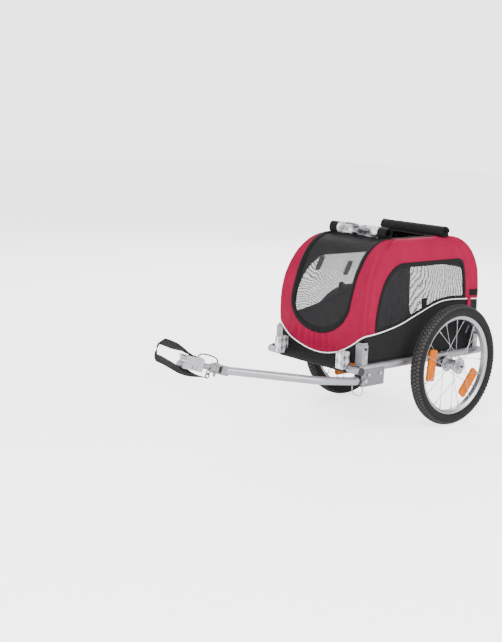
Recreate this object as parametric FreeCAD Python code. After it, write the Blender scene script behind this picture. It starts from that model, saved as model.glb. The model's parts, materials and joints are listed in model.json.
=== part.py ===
"""Dog bike trailer: a tubular frame on two spoked wheels, a folding fabric cabin and a tow bar.

Millimetres, +Z up, the tow bar towards -Y, the side with the tow bar at +X.
The pieces are laid out from the wheel axle, and moved at the end so that the origin lies on
the ground under the middle of the whole trailer.
"""
import FreeCAD, Part
import math
import os

V = FreeCAD.Vector

# Wheels
TRACK = 484.0
TYRE_WIDTH = 44.0
TYRE_WALL = 4.0
RIM_RADIUS = 168.0
TYRE_HEIGHT = 32.0
WHEEL_RADIUS = RIM_RADIUS + TYRE_HEIGHT
RIM_WIDTH = 27.0
RIM_DEPTH = 16.0
RIM_FLANGE_HEIGHT = 5.0
RIM_FLANGE = 2.0
RIM_BASE_WIDTH = 16.0
SPOKE_COUNT = 20
SPOKE_RADIUS = 0.9
SPOKE_CIRCLE = 23.0
SPOKE_LACE_SHARE = 0.2
SPOKE_STAGGER = 1.7
HUB_FLANGE_RADIUS = 27.0
HUB_FLANGE_SPACING = 48.0
HUB_FLANGE = 3.0
HUB_BARREL_RADIUS = 17.0
HUB_LENGTH = 56.0
BEARING_RADIUS = 14.0
BEARING_WIDTH = 8.0
WHEEL_REFLECTOR_LENGTH = 104.0
WHEEL_REFLECTOR_WIDTH = 36.0
WHEEL_REFLECTOR_THICKNESS = 9.6
WHEEL_REFLECTOR_INSET = 42.0
WHEEL_REFLECTOR_ANGLES = {
    "left": (math.radians(175.0), math.radians(320.0)),
    "right": (math.radians(270.0), math.radians(54.0)),
}

# Quick-release axles
AXLE_RADIUS = 6.0
AXLE_COLLAR_RADIUS = 9.0
AXLE_CAP_RADIUS = 11.0
AXLE_CAP = 6.0
AXLE_BUTTON_RADIUS = 4.0
AXLE_BUTTON_DEPTH = 12.0
BUTTON_PROUD = 4.0

# Frame tubes
TUBE_RADIUS = 12.5
TUBE_WALL = 1.5
WHEEL_ROOM = 98.0
SIDE_TUBE_SPACING = TRACK - WHEEL_ROOM
AXLE_DROP = 22.0
FRONT_CROSS_REACH = 400.0
FRONT_CROSS_DROP = 5.0
FRONT_CROSS_OVERHANG = 13.0
REAR_REACH = 186.0
REAR_CROSS_INSET = 24.0
PLUG = 3.0
PLUG_DEPTH = 14.0
AXLE_BRACKET_LENGTH = 44.0
AXLE_BRACKET_FOOT = 14.0
AXLE_BRACKET_PROUD = 1.0
FLOOR = 3.0
FLOOR_REAR_MARGIN = 14.0

# Hoops and the folding hinges at their feet
HOOP_RADIUS = 7.0
HOOP_WALL = 1.2
HOOP_CLEARANCE = 1.5
PIVOT_RISE = 36.0
FRONT_PIVOT_SETBACK = 25.5
FRONT_PIVOT_REACH = FRONT_CROSS_REACH - FRONT_PIVOT_SETBACK
REAR_PIVOT_INSET = 22.0
REAR_PIVOT_REACH = REAR_REACH - REAR_PIVOT_INSET
FRONT_HOOP_BEND_RISE = 197.0
FRONT_HOOP_BEND = 190.0
FRONT_HOOP_TOP_SETBACK = 121.0
REAR_HOOP_JOG = 20.0
REAR_HOOP_JOG_RISES = (60.0, 112.0)
REAR_HOOP_JOG_BEND = 60.0
REAR_HOOP_BEND_RISE = 212.0
REAR_HOOP_BEND = 120.0
REAR_HOOP_TOP_SETBACK = 80.0
HOOP_TOP_INSET = 40.0
HOOP_TOP_BEND = 38.0
HOOP_ROOF_GAP = 5.0
FOOT_WIDTH = 24.0
FOOT_DEPTH = 21.4
FOOT_HEIGHT = 44.0
FOOT_OFFSET = 4.0
FOOT_SOCKET_RISE = 16.0
BRACKET_WALL = 2.5
BRACKET_HEIGHT = 61.0
BRACKET_BASE = 3.0
PIN_RADIUS = 4.0
PIN_HEAD_RADIUS = 6.5
PIN_HEAD = 2.0
LOCK_BUTTON_RADIUS = 4.0
LOCK_BUTTON_RISE = 25.0
LOCK_BUTTON_POCKET = 3.8
LOCK_BUTTON_POCKET_RADIUS = 5.0

# Fits
RUNNING_FIT = 0.05
SIDE_CLEARANCE = 0.3
OVERRUN = 5.0

# Tow bar and its receiver
RECEIVER_LENGTH = 102.0
RECEIVER_SETBACK = 1.0
RECEIVER_MOUTH_REACH = FRONT_CROSS_REACH - RECEIVER_SETBACK
RECEIVER_PLATE = 3.0
RECEIVER_DROP = 54.0
TOW_BAR_DROP = 35.0
TOW_BAR_ROOT_MARGIN = 4.0
TOW_BAR_LEAD = 18.0
TOW_BAR_ELBOW = (0.0, 173.0, 22.0)
TOW_BAR_END = (93.0, 470.0, 72.0)
TOW_BAR_FIRST_BEND = 160.0
TOW_BAR_SECOND_BEND = 220.0
SEAL_THICKNESS = 2.5
SEAL_LENGTH = 4.0
BOLT_RADIUS = 3.0
BOLT_HEAD_RADIUS = 5.5
BOLT_HEAD = 4.0
RECEIVER_BOLT_RISE = 17.5
RECEIVER_BOLT_SHARES = (0.3, 0.8)
LOCK_PIN_RADIUS = 4.0
LOCK_PIN_INSET = 14.0
LOCK_PIN_HEAD_RADIUS = 7.0
LOCK_PIN_HEAD = 7.0
LOCK_PIN_TIP = 14.0
BAIL_RADIUS = 1.5
BAIL_STANDOFF = 3.5
BAIL_DROP = 48.0
BAIL_BEND = 18.0
BAIL_TIP_MARGIN = 9.0

# Hitch at the front of the tow bar, laid out along its own forward line
HITCH_PITCH = 16.7
FORK_WIDTH = 30.0
FORK_BACK = 15.0
FORK_FRONT = 12.0
EAR_WIDTH = 26.0
EAR_LENGTH = 22.0
EAR = 5.0
EAR_GAP = 18.0
HITCH_PIN_REACH = 24.0
HITCH_PIN_RADIUS = 4.0
HITCH_PIN_HEAD_RADIUS = 7.5
HITCH_PIN_HEAD = 3.5
HITCH_PIN_TAIL = 10.0
YOKE_RADIUS = 11.0
YOKE_NECK_WIDTH = 16.0
YOKE_DISC_RADIUS = 10.5
YOKE_DISC = 5.0
YOKE_REACH = 46.0
EYE_RADIUS = 6.0
EYE_DROP = 16.0
LINK_RADIUS = 7.0
LINK_WIRE = 1.8
LINK_DROP = 9.0
SPRING_LENGTH = 32.0
SPRING_RADIUS = 7.2
SPRING_WIRE = 1.3
SPRING_TURNS = 8
SPRING_END_GAP = 0.3
COUPLING_LENGTH = 75.0
COUPLING_HEIGHT = 38.0
COUPLING_WIDTH = 30.0
COUPLING_EDGE = 4.0
JAW_RADIUS = 11.0
JAW_SETBACK = 3.0
JAW_RISE = 6.0
COUPLING_BOLT_SHARES = (0.55, 0.72)
WEBBING_WIDTH = 26.0
WEBBING = 2.4
STRAP_MIDDLE = (172.0, 33.0)
STRAP_FRONT = (226.0, 40.0)
STRAP_LOOP_RADIUS = 24.0
STRAP_TURN_SHARE = 0.96
STRAP_BACK = (162.0, -25.0)
STRAP_BEND = 60.0
TETHER_MIDDLE = (110.0, -31.0)
TETHER_END = (55.0, -32.0)
RING_WIDTH = 38.0
RING_LENGTH = 22.0
RING_SETBACK = 14.0
RING_WIRE = 3.0
LEASH_RADIUS = 2.0
LEASH_FIRST_RISE = 14.0
LEASH_LAST_RISE = 12.0
LEASH_BEND = 9.0
LEASH_GAP = 0.1

# Cabin cover
CABIN_SIDE_MARGIN = 5.0
CABIN_WIDTH = SIDE_TUBE_SPACING - 2 * CABIN_SIDE_MARGIN
CABIN_HEIGHT = 370.0
CABIN_FRONT_SETBACK = 14.0
CABIN_FRONT_REACH = FRONT_CROSS_REACH - CABIN_FRONT_SETBACK
CABIN_REAR_PROUD = 4.0
CABIN_REAR_REACH = REAR_REACH + CABIN_REAR_PROUD
CABIN_BOTTOM_GAP = 2.5
CLOTH = 2.0
FRONT_BEND_DEPTH = 158.0
SHOULDER_WIDTH = 60.0
SHOULDER_HEIGHT = 229.0
REAR_BEND_DEPTH = 102.0
REAR_BEND_HEIGHT = 127.0
REAR_LEAN = 18.0
PIPING_FRONT_RISE = 83.0
PIPING_DIP = 78.0
PIPING_REAR_RISE = 161.0
PIPING_SHARES = (
    (0.0, 0.0), (0.14, 0.09), (0.3, 0.31), (0.45, 0.66), (0.61, 1.02), (0.73, 1.1), (1.0, 1.0),
)
CORNER_NOTCH = 4.0
FRONT_ZONE_SHARE = 0.3
WRAP_GAP = 0.3
WRAP_MARGIN = 36.0
WRAP_HALF_WIDTH = CABIN_WIDTH / 2 - WRAP_MARGIN
FRONT_WINDOW_MARGIN = 65.0
FRONT_WINDOW_WIDTH = CABIN_WIDTH - 2 * FRONT_WINDOW_MARGIN
FRONT_WINDOW_RISE = 79.0
FRONT_WINDOW_BOWL = 94.0
FRONT_WINDOW_TOP_SETBACK = 156.0
FRONT_WINDOW_TOP_REACH = CABIN_FRONT_REACH - FRONT_WINDOW_TOP_SETBACK
SIDE_WINDOW_FRONT_SETBACK = 63.0
SIDE_WINDOW_FRONT_REACH = CABIN_FRONT_REACH - SIDE_WINDOW_FRONT_SETBACK
SIDE_WINDOW_REAR_INSET = 84.0
SIDE_WINDOW_REAR_REACH = CABIN_REAR_REACH - SIDE_WINDOW_REAR_INSET
SIDE_WINDOW_REAR_LEAN = 8.0
SIDE_WINDOW_TOP_RISE = 296.0
SIDE_WINDOW_SHOULDER_LENGTH = 135.0
SIDE_WINDOW_SHOULDER_HEIGHT = 172.0
REAR_WINDOW_MARGIN = 62.0
REAR_WINDOW_RISE = 45.0
REAR_WINDOW_HEIGHT = 218.0
REAR_WINDOW_CORNER = 34.0
HATCH_SIDE_MARGIN = 83.0
HATCH_WIDTH = CABIN_WIDTH - 2 * HATCH_SIDE_MARGIN
HATCH_FRONT_SETBACK = 194.0
HATCH_FRONT_REACH = CABIN_FRONT_REACH - HATCH_FRONT_SETBACK
HATCH_REAR_INSET = 176.0
HATCH_REAR_REACH = CABIN_REAR_REACH - HATCH_REAR_INSET
RAIN_ROLL_RADIUS = 19.0
RAIN_ROLL_END_MARGIN = 63.0
RAIN_ROLL_LENGTH = CABIN_WIDTH - 2 * RAIN_ROLL_END_MARGIN
RAIN_ROLL_SETBACK = 165.0
RAIN_ROLL_REACH = CABIN_FRONT_REACH - RAIN_ROLL_SETBACK
COVER_ROLL_RADIUS = 15.5
COVER_ROLL_END_MARGIN = 50.0
COVER_ROLL_LENGTH = CABIN_WIDTH - 2 * COVER_ROLL_END_MARGIN
COVER_ROLL_INSET = 147.0
COVER_ROLL_REACH = CABIN_REAR_REACH - COVER_ROLL_INSET
ROLL_REST_GAP = 0.3

# Reflectors
FRONT_REFLECTOR_INSET = 53.0
FRONT_REFLECTOR_SPACING = SIDE_TUBE_SPACING - 2 * FRONT_REFLECTOR_INSET
FRONT_REFLECTOR_WIDTH = 28.0
FRONT_REFLECTOR_DEPTH = 30.0
FRONT_REFLECTOR_HEIGHT = 41.0
FRONT_LENS = 4.0
FRONT_LENS_MARGIN = 2.0
REAR_REFLECTOR_INSET = 43.0
REAR_REFLECTOR_SPACING = SIDE_TUBE_SPACING - 2 * REAR_REFLECTOR_INSET
REAR_REFLECTOR_RADIUS = 11.5
REAR_REFLECTOR = 8.0

# Places that follow from the sizes above
WHEEL_X = TRACK / 2
AXLE_Z = WHEEL_RADIUS
SIDE_X = SIDE_TUBE_SPACING / 2
SIDE_Z = AXLE_Z + AXLE_DROP
TUBE_TOP = SIDE_Z + TUBE_RADIUS
CROSS_Y = -FRONT_CROSS_REACH
CROSS_Z = SIDE_Z - FRONT_CROSS_DROP
CABIN_BOTTOM = TUBE_TOP + CABIN_BOTTOM_GAP
ROOF_Z = CABIN_BOTTOM + CABIN_HEIGHT
CABIN_HALF = CABIN_WIDTH / 2
HOOP_INSET = CLOTH + HOOP_RADIUS + HOOP_CLEARANCE
HOOP_X = CABIN_HALF - HOOP_INSET
HOOP_TOP_Z = ROOF_Z - CLOTH - HOOP_ROOF_GAP - HOOP_RADIUS
FOOT_X = HOOP_X + FOOT_OFFSET
PIVOT_Z = SIDE_Z + PIVOT_RISE
FRONT_PIVOT_Y = -FRONT_PIVOT_REACH
REAR_PIVOT_Y = REAR_PIVOT_REACH
TOW_BAR_Z = SIDE_Z - TOW_BAR_DROP
MOUTH_Y = -RECEIVER_MOUTH_REACH
HITCH = V(SIDE_X - TOW_BAR_END[0], MOUTH_Y - TOW_BAR_END[1], TOW_BAR_Z + TOW_BAR_END[2])
SPRING_START = YOKE_REACH + YOKE_DISC
COUPLING_START = SPRING_START + SPRING_LENGTH
COUPLING_END = COUPLING_START + COUPLING_LENGTH
FLEX_CENTRE = SPRING_START + SPRING_LENGTH / 2
SHAPES = {}


def save(node, shape):
    """Keep a finished sub-part under its node's name; a list becomes a group of solids."""
    if isinstance(shape, (list, tuple)):
        shape = Part.makeCompound(list(shape))
    SHAPES[node] = shape


def block(low, high):
    """Box between two opposite corners."""
    size = high - low
    return Part.makeBox(size.x, size.y, size.z, low)


def rod(start, end, radius):
    """Solid cylinder from one point to another."""
    line = end - start
    return Part.makeCylinder(radius, line.Length, start, line)


def tube(start, end, radius, wall):
    """Hollow cylinder from one point to another."""
    line = end - start
    reach = line * (OVERRUN / line.Length)
    return rod(start, end, radius).cut(rod(start - reach, end + reach, radius - wall))


def fuse(shapes):
    """One solid from pieces that touch or overlap."""
    return shapes[0].multiFuse(shapes[1:]).removeSplitter()


def mirrored(shape):
    """The same piece on the other side of the trailer."""
    return shape.mirror(V(0, 0, 0), V(1, 0, 0))


def pair(shape):
    """A piece and its mirror image."""
    return [shape, mirrored(shape)]


def corner_arc(start, corner, end):
    """Arc tangent to both legs of a corner whose legs are equally long."""
    middle = (start + end) * 0.5
    half_chord = (end - start).Length / 2
    leg = (corner - start).Length
    height = (corner - middle).Length
    sagitta = half_chord * (leg - half_chord) / height
    return Part.Arc(start, middle + (corner - middle) * (sagitta / height), end).toShape()


def bent_path(points, bends):
    """Wire of straight runs joined by tangent arcs of the given radii."""
    edges = []
    here = points[0]
    for before, corner, after, bend in zip(points, points[1:], points[2:], bends):
        into = (corner - before).normalize()
        out = (after - corner).normalize()
        half_turn = into.getAngle(out) / 2
        leg = bend * math.tan(half_turn)
        start = corner - into * leg
        end = corner + out * leg
        edges.append(Part.LineSegment(here, start).toShape())
        edges.append(corner_arc(start, corner, end))
        here = end
    edges.append(Part.LineSegment(here, points[-1]).toShape())
    return Part.Wire(edges)


def sweep(path, radius):
    """Round solid along a path of runs and arcs."""
    start = path.Edges[0]
    first = start.valueAt(start.FirstParameter)
    heading = start.tangentAt(start.FirstParameter)
    section = Part.Wire([Part.Circle(first, heading, radius).toShape()])
    return path.makePipeShell([section], True, False)


def swept_tube(points, bends, radius, wall):
    """Bent round tube with a bore."""
    path = bent_path(points, bends)
    return sweep(path, radius).cut(sweep(path, radius - wall))


def flat_shape(points):
    """Face inside a closed outline of straight edges."""
    return Part.Face(Part.makePolygon(list(points) + [points[0]]))


def revolved(profile, centre):
    """Ring from a profile of (across, radius) points, turned about a line along X."""
    outline = [centre + V(across, 0, radius) for across, radius in profile]
    return flat_shape(outline).revolve(centre, V(1, 0, 0), math.degrees(2 * math.pi))


def quarter_ellipse(centre, first, second):
    """Edge of an ellipse between the ends of its two half axes."""
    longer, shorter = (first, second) if first.Length >= second.Length else (second, first)
    ellipse = Part.Ellipse(centre + longer, centre + shorter, centre)
    return Part.ArcOfEllipse(ellipse, 0, math.pi / 2).toShape()


def outline_face(edges):
    """Face inside edges that close on themselves."""
    return Part.Face(Part.Wire(Part.__sortEdges__(edges)))


def line(start, end):
    """Straight edge."""
    return Part.LineSegment(start, end).toShape()


# Frame
def side_tube_axis(front, rear):
    """Straight tube along one side, at the left."""
    return V(SIDE_X, front, SIDE_Z), V(SIDE_X, rear, SIDE_Z)


def build_tubes():
    cross_end = SIDE_X + FRONT_CROSS_OVERHANG
    front_ends = V(-cross_end, CROSS_Y, CROSS_Z), V(cross_end, CROSS_Y, CROSS_Z)
    side_ends = side_tube_axis(CROSS_Y, REAR_REACH)
    front_cutter = rod(*front_ends, TUBE_RADIUS)
    side_cutter = rod(*side_ends, TUBE_RADIUS)
    side = tube(*side_ends, TUBE_RADIUS, TUBE_WALL).cut(front_cutter)
    rear_y = REAR_REACH - REAR_CROSS_INSET
    crosses = [tube(*front_ends, TUBE_RADIUS, TUBE_WALL)]
    for y in (0, rear_y):
        bar = tube(V(-SIDE_X, y, SIDE_Z), V(SIDE_X, y, SIDE_Z), TUBE_RADIUS, TUBE_WALL)
        crosses.append(bar.cut(side_cutter).cut(mirrored(side_cutter)))
    save("side_tubes", pair(largest(side)))
    save("cross_tubes", [largest(bar) for bar in crosses])
    rear_plug = end_plug(side_ends[1], V(0, 1, 0))
    cross_plug = end_plug(front_ends[1], V(1, 0, 0))
    save("tube_end_plugs", pair(rear_plug) + pair(cross_plug))


def largest(shape):
    """The biggest solid that a cut leaves."""
    return max(shape.Solids, key=lambda solid: solid.Volume)


def end_plug(mouth, outward):
    """Plastic plug whose cap closes a tube's end."""
    cap = rod(mouth, mouth + outward * PLUG, TUBE_RADIUS)
    shank = rod(mouth - outward * PLUG_DEPTH, mouth, TUBE_RADIUS - TUBE_WALL)
    return fuse([cap, shank])


def build_floor():
    half = FOOT_X - FOOT_WIDTH / 2 - BRACKET_WALL - SIDE_CLEARANCE * 2
    front = -CABIN_FRONT_REACH + CLOTH + SIDE_CLEARANCE
    rear = REAR_REACH - FLOOR_REAR_MARGIN
    base = TUBE_TOP + SIDE_CLEARANCE
    save("floor_panel", block(V(-half, front, base), V(half, rear, base + FLOOR)))


def build_axle_brackets():
    inner = SIDE_X - TUBE_RADIUS
    outer = SIDE_X + TUBE_RADIUS + AXLE_BRACKET_PROUD
    half = AXLE_BRACKET_LENGTH / 2
    body = block(V(inner, -half, AXLE_Z - AXLE_BRACKET_FOOT), V(outer, half, SIDE_Z))
    body = body.cut(rod(*side_tube_axis(-half - OVERRUN, half + OVERRUN), TUBE_RADIUS))
    body = body.cut(rod(V(0, 0, SIDE_Z), V(SIDE_X, 0, SIDE_Z), TUBE_RADIUS))
    bore = rod(V(inner - OVERRUN, 0, AXLE_Z), V(outer + OVERRUN, 0, AXLE_Z), AXLE_RADIUS + RUNNING_FIT)
    save("axle_brackets", pair(largest(body.cut(bore))))


def build_reflectors():
    half = FRONT_REFLECTOR_WIDTH / 2
    x = FRONT_REFLECTOR_SPACING / 2
    front = CROSS_Y - FRONT_REFLECTOR_DEPTH
    top = CROSS_Z + TUBE_RADIUS + FRONT_REFLECTOR_HEIGHT
    housing = block(V(x - half, front, CROSS_Z), V(x + half, CROSS_Y, top))
    saddle = rod(V(0, CROSS_Y, CROSS_Z), V(2 * x, CROSS_Y, CROSS_Z), TUBE_RADIUS + WRAP_GAP * 2 + CLOTH)
    save("front_reflector_housings", pair(largest(housing.cut(saddle))))
    lens_low = V(x - half + FRONT_LENS_MARGIN, front - FRONT_LENS, CROSS_Z + FRONT_LENS_MARGIN)
    lens_high = V(x + half - FRONT_LENS_MARGIN, front, top - FRONT_LENS_MARGIN)
    save("front_reflector_lenses", pair(block(lens_low, lens_high)))
    x = REAR_REFLECTOR_SPACING / 2
    face = REAR_REACH - REAR_CROSS_INSET + TUBE_RADIUS
    disc = rod(
        V(x, REAR_REACH - REAR_CROSS_INSET, SIDE_Z),
        V(x, face + REAR_REFLECTOR, SIDE_Z),
        REAR_REFLECTOR_RADIUS,
    )
    bar = rod(
        V(0, REAR_REACH - REAR_CROSS_INSET, SIDE_Z),
        V(2 * x, REAR_REACH - REAR_CROSS_INSET, SIDE_Z),
        TUBE_RADIUS,
    )
    save("rear_reflectors", pair(largest(disc.cut(bar))))


# Hoops
def hinge_bracket(y, web_side):
    """U-shaped bracket on a side tube, open on the side towards which its hoop folds."""
    half = FOOT_WIDTH / 2 + SIDE_CLEARANCE
    outer = half + BRACKET_WALL
    depth = FOOT_DEPTH / 2 + SIDE_CLEARANCE * 2
    web = y + web_side * (depth + BRACKET_WALL)
    open_edge = y - web_side * (FOOT_DEPTH / 2)
    low_y, high_y = min(web, open_edge), max(web, open_edge)
    top = TUBE_TOP + BRACKET_HEIGHT
    shell = block(V(FOOT_X - outer, low_y, SIDE_Z), V(FOOT_X + outer, high_y, top))
    inner_web = y + web_side * depth
    past = open_edge - web_side * OVERRUN
    low_cut, high_cut = min(inner_web, past), max(inner_web, past)
    shell = shell.cut(
        block(
            V(FOOT_X - half, low_cut, TUBE_TOP + BRACKET_BASE),
            V(FOOT_X + half, high_cut, top + OVERRUN),
        ),
    )
    shell = shell.cut(rod(*side_tube_axis(low_y - OVERRUN, high_y + OVERRUN), TUBE_RADIUS))
    rear_y = REAR_REACH - REAR_CROSS_INSET
    shell = shell.cut(rod(V(0, rear_y, SIDE_Z), V(SIDE_X, rear_y, SIDE_Z), TUBE_RADIUS))
    across = V(FOOT_X - outer - OVERRUN, y, PIVOT_Z), V(FOOT_X + outer + OVERRUN, y, PIVOT_Z)
    shell = shell.cut(rod(*across, PIN_RADIUS))
    button_z = PIVOT_Z + LOCK_BUTTON_RISE
    hole = V(FOOT_X, y, button_z), V(FOOT_X + outer + OVERRUN, y, button_z)
    return largest(shell.cut(rod(*hole, LOCK_BUTTON_RADIUS + RUNNING_FIT)))


def hinge_pin(y):
    """Rivet through a bracket's cheeks and its hoop's foot."""
    outer = FOOT_WIDTH / 2 + SIDE_CLEARANCE + BRACKET_WALL
    left = V(FOOT_X - outer, y, PIVOT_Z)
    right = V(FOOT_X + outer, y, PIVOT_Z)
    head = V(PIN_HEAD, 0, 0)
    heads = [rod(left - head, left, PIN_HEAD_RADIUS), rod(right, right + head, PIN_HEAD_RADIUS)]
    return fuse([rod(left, right, PIN_RADIUS)] + heads)


def hoop_foot(y):
    """Block on the end of a hoop's leg, round about the hinge pin below."""
    half = FOOT_WIDTH / 2
    low = V(FOOT_X - half, y - FOOT_DEPTH / 2, PIVOT_Z)
    high = V(FOOT_X + half, y + FOOT_DEPTH / 2, PIVOT_Z + FOOT_HEIGHT)
    round_end = rod(V(FOOT_X - half, y, PIVOT_Z), V(FOOT_X + half, y, PIVOT_Z), FOOT_DEPTH / 2)
    foot = fuse([block(low, high), round_end])
    across = V(FOOT_X - half - OVERRUN, y, PIVOT_Z), V(FOOT_X + half + OVERRUN, y, PIVOT_Z)
    foot = foot.cut(rod(*across, PIN_RADIUS + RUNNING_FIT))
    socket = V(HOOP_X, y, PIVOT_Z + FOOT_SOCKET_RISE), V(HOOP_X, y, PIVOT_Z + FOOT_HEIGHT + OVERRUN)
    foot = foot.cut(rod(*socket, HOOP_RADIUS))
    button_z = PIVOT_Z + LOCK_BUTTON_RISE
    face = FOOT_X + half
    pocket = V(face - LOCK_BUTTON_POCKET, y, button_z), V(face + OVERRUN, y, button_z)
    return largest(foot.cut(rod(*pocket, LOCK_BUTTON_POCKET_RADIUS)))


def lock_button(y):
    """Spring button in a bracket's outer cheek, its nose flush with the inside."""
    inside = FOOT_X + FOOT_WIDTH / 2 + SIDE_CLEARANCE
    button_z = PIVOT_Z + LOCK_BUTTON_RISE
    start = V(inside, y, button_z)
    return rod(start, start + V(BRACKET_WALL + BUTTON_PROUD, 0, 0), LOCK_BUTTON_RADIUS)


def hoop_points(half_leg):
    """Path of a whole hoop from the points of its left leg, foot first."""
    return half_leg + [V(-point.x, point.y, point.z) for point in reversed(half_leg)]


def build_hoops():
    start_z = PIVOT_Z + FOOT_SOCKET_RISE
    top_x = HOOP_X - HOOP_TOP_INSET
    front_leg = [
        V(HOOP_X, FRONT_PIVOT_Y, start_z),
        V(HOOP_X, FRONT_PIVOT_Y, PIVOT_Z + FRONT_HOOP_BEND_RISE),
        V(top_x, FRONT_PIVOT_Y + FRONT_HOOP_TOP_SETBACK, HOOP_TOP_Z),
    ]
    front_bends = [FRONT_HOOP_BEND, HOOP_TOP_BEND]
    inner_x = HOOP_X - REAR_HOOP_JOG
    rear_leg = [
        V(HOOP_X, REAR_PIVOT_Y, start_z),
        V(HOOP_X, REAR_PIVOT_Y, PIVOT_Z + REAR_HOOP_JOG_RISES[0]),
        V(inner_x, REAR_PIVOT_Y, PIVOT_Z + REAR_HOOP_JOG_RISES[1]),
        V(inner_x, REAR_PIVOT_Y, PIVOT_Z + REAR_HOOP_BEND_RISE),
        V(top_x, REAR_PIVOT_Y - REAR_HOOP_TOP_SETBACK, HOOP_TOP_Z),
    ]
    rear_bends = [REAR_HOOP_JOG_BEND, REAR_HOOP_JOG_BEND, REAR_HOOP_BEND, HOOP_TOP_BEND]
    hoops = (
        ("front", front_leg, front_bends, FRONT_PIVOT_Y),
        ("rear", rear_leg, rear_bends, REAR_PIVOT_Y),
    )
    for name, leg, bends, pivot in hoops:
        points = hoop_points(leg)
        hoop = swept_tube(points, bends + bends[::-1], HOOP_RADIUS, HOOP_WALL)
        save(name + "_hoop_tube", hoop)
        save(name + "_hoop_feet", pair(hoop_foot(pivot)))
        left, right = pair(lock_button(pivot))
        save("left_" + name + "_lock_button", left)
        save("right_" + name + "_lock_button", right)
    brackets = pair(hinge_bracket(FRONT_PIVOT_Y, -1)) + pair(hinge_bracket(REAR_PIVOT_Y, 1))
    save("hinge_brackets", brackets)
    save("hinge_pins", pair(hinge_pin(FRONT_PIVOT_Y)) + pair(hinge_pin(REAR_PIVOT_Y)))


# Wheels and their axles
def build_wheel(side, shape_of):
    """One wheel on the left; shape_of puts each piece on its own side."""
    centre = V(WHEEL_X, 0, AXLE_Z)
    half_tyre = TYRE_WIDTH / 2
    ring_radius = WHEEL_RADIUS - half_tyre
    tyre = Part.makeTorus(ring_radius, half_tyre, centre, V(1, 0, 0))
    hollow = Part.makeTorus(ring_radius, half_tyre - TYRE_WALL, centre, V(1, 0, 0))
    half_rim = RIM_WIDTH / 2
    seat = rod(centre - V(half_rim, 0, 0), centre + V(half_rim, 0, 0), RIM_RADIUS)
    save(side + "_tyre", shape_of(largest(tyre.cut(hollow).cut(seat))))
    bed = RIM_RADIUS - RIM_FLANGE_HEIGHT
    inner_flange = half_rim - RIM_FLANGE
    wall_end = RIM_RADIUS - RIM_DEPTH / 2
    base = RIM_BASE_WIDTH / 2
    bottom = RIM_RADIUS - RIM_DEPTH
    right_half = [
        (inner_flange, RIM_RADIUS), (half_rim, RIM_RADIUS), (half_rim, wall_end), (base, bottom),
    ]
    left_half = [(-across, radius) for across, radius in reversed(right_half)]
    profile = left_half + [(-inner_flange, bed), (inner_flange, bed)] + right_half
    save(side + "_rim", shape_of(revolved(profile, centre)))
    save(side + "_hub", shape_of(wheel_hub(centre)))
    save(side + "_bearings", [shape_of(ring) for ring in wheel_bearings(centre)])
    save(side + "_spokes", [shape_of(spoke) for spoke in wheel_spokes(centre)])
    lenses = wheel_reflectors(centre, WHEEL_REFLECTOR_ANGLES[side])
    save(side + "_wheel_reflectors", [shape_of(lens) for lens in lenses])


def wheel_hub(centre):
    """Flanged hub barrel with a seat for a bearing at each end."""
    half = HUB_LENGTH / 2
    pieces = [rod(centre - V(half, 0, 0), centre + V(half, 0, 0), HUB_BARREL_RADIUS)]
    for side in (-1, 1):
        middle = centre + V(side * HUB_FLANGE_SPACING / 2, 0, 0)
        pieces.append(
            rod(middle - V(HUB_FLANGE / 2, 0, 0), middle + V(HUB_FLANGE / 2, 0, 0), HUB_FLANGE_RADIUS),
        )
    hub = fuse(pieces)
    hub = hub.cut(
        rod(centre - V(half + OVERRUN, 0, 0), centre + V(half + OVERRUN, 0, 0), AXLE_COLLAR_RADIUS),
    )
    for side in (-1, 1):
        mouth = centre + V(side * (half + OVERRUN), 0, 0)
        hub = hub.cut(rod(centre + V(side * (half - BEARING_WIDTH), 0, 0), mouth, BEARING_RADIUS))
    return largest(hub)


def wheel_bearings(centre):
    """Two bearings, their bores a running fit on the axle."""
    rings = []
    for side in (-1, 1):
        inner = centre + V(side * (HUB_LENGTH / 2 - BEARING_WIDTH), 0, 0)
        outer = centre + V(side * HUB_LENGTH / 2, 0, 0)
        rings.append(tube(inner, outer, BEARING_RADIUS, BEARING_RADIUS - AXLE_RADIUS - RUNNING_FIT))
    return rings


def around(centre, across, radius, angle):
    """Point of a wheel at a radius and an angle about its axle."""
    return centre + V(across, radius * math.cos(angle), radius * math.sin(angle))


def wheel_spokes(centre):
    """Crossed spokes from both hub flanges to the rim."""
    spokes = []
    step = 2 * math.pi / SPOKE_COUNT
    lace = 2 * math.pi * SPOKE_LACE_SHARE
    for index in range(SPOKE_COUNT):
        side = 1 if index % 2 else -1
        lean = 1 if index % 4 < 2 else -1
        rim_angle = index * step
        hub_across = side * (HUB_FLANGE_SPACING / 2 + lean * (HUB_FLANGE / 2 + SPOKE_STAGGER))
        root = around(centre, hub_across, SPOKE_CIRCLE, rim_angle + lean * lace)
        tip = around(centre, side * RIM_BASE_WIDTH / 4, RIM_RADIUS - RIM_DEPTH, rim_angle)
        spokes.append(rod(root, tip, SPOKE_RADIUS))
    return spokes


def wheel_reflectors(centre, angles):
    """Flat lenses clipped between the spokes, just inside the rim."""
    lenses = []
    radius = RIM_RADIUS - RIM_DEPTH - WHEEL_REFLECTOR_INSET
    half_thick = WHEEL_REFLECTOR_THICKNESS / 2
    for angle in angles:
        low = V(-half_thick, -WHEEL_REFLECTOR_WIDTH / 2, -WHEEL_REFLECTOR_LENGTH / 2)
        lens = block(low, -low)
        lens.rotate(V(0, 0, 0), V(1, 0, 0), math.degrees(angle))
        lens.translate(around(centre, 0, radius, angle))
        lenses.append(lens)
    return lenses


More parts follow.
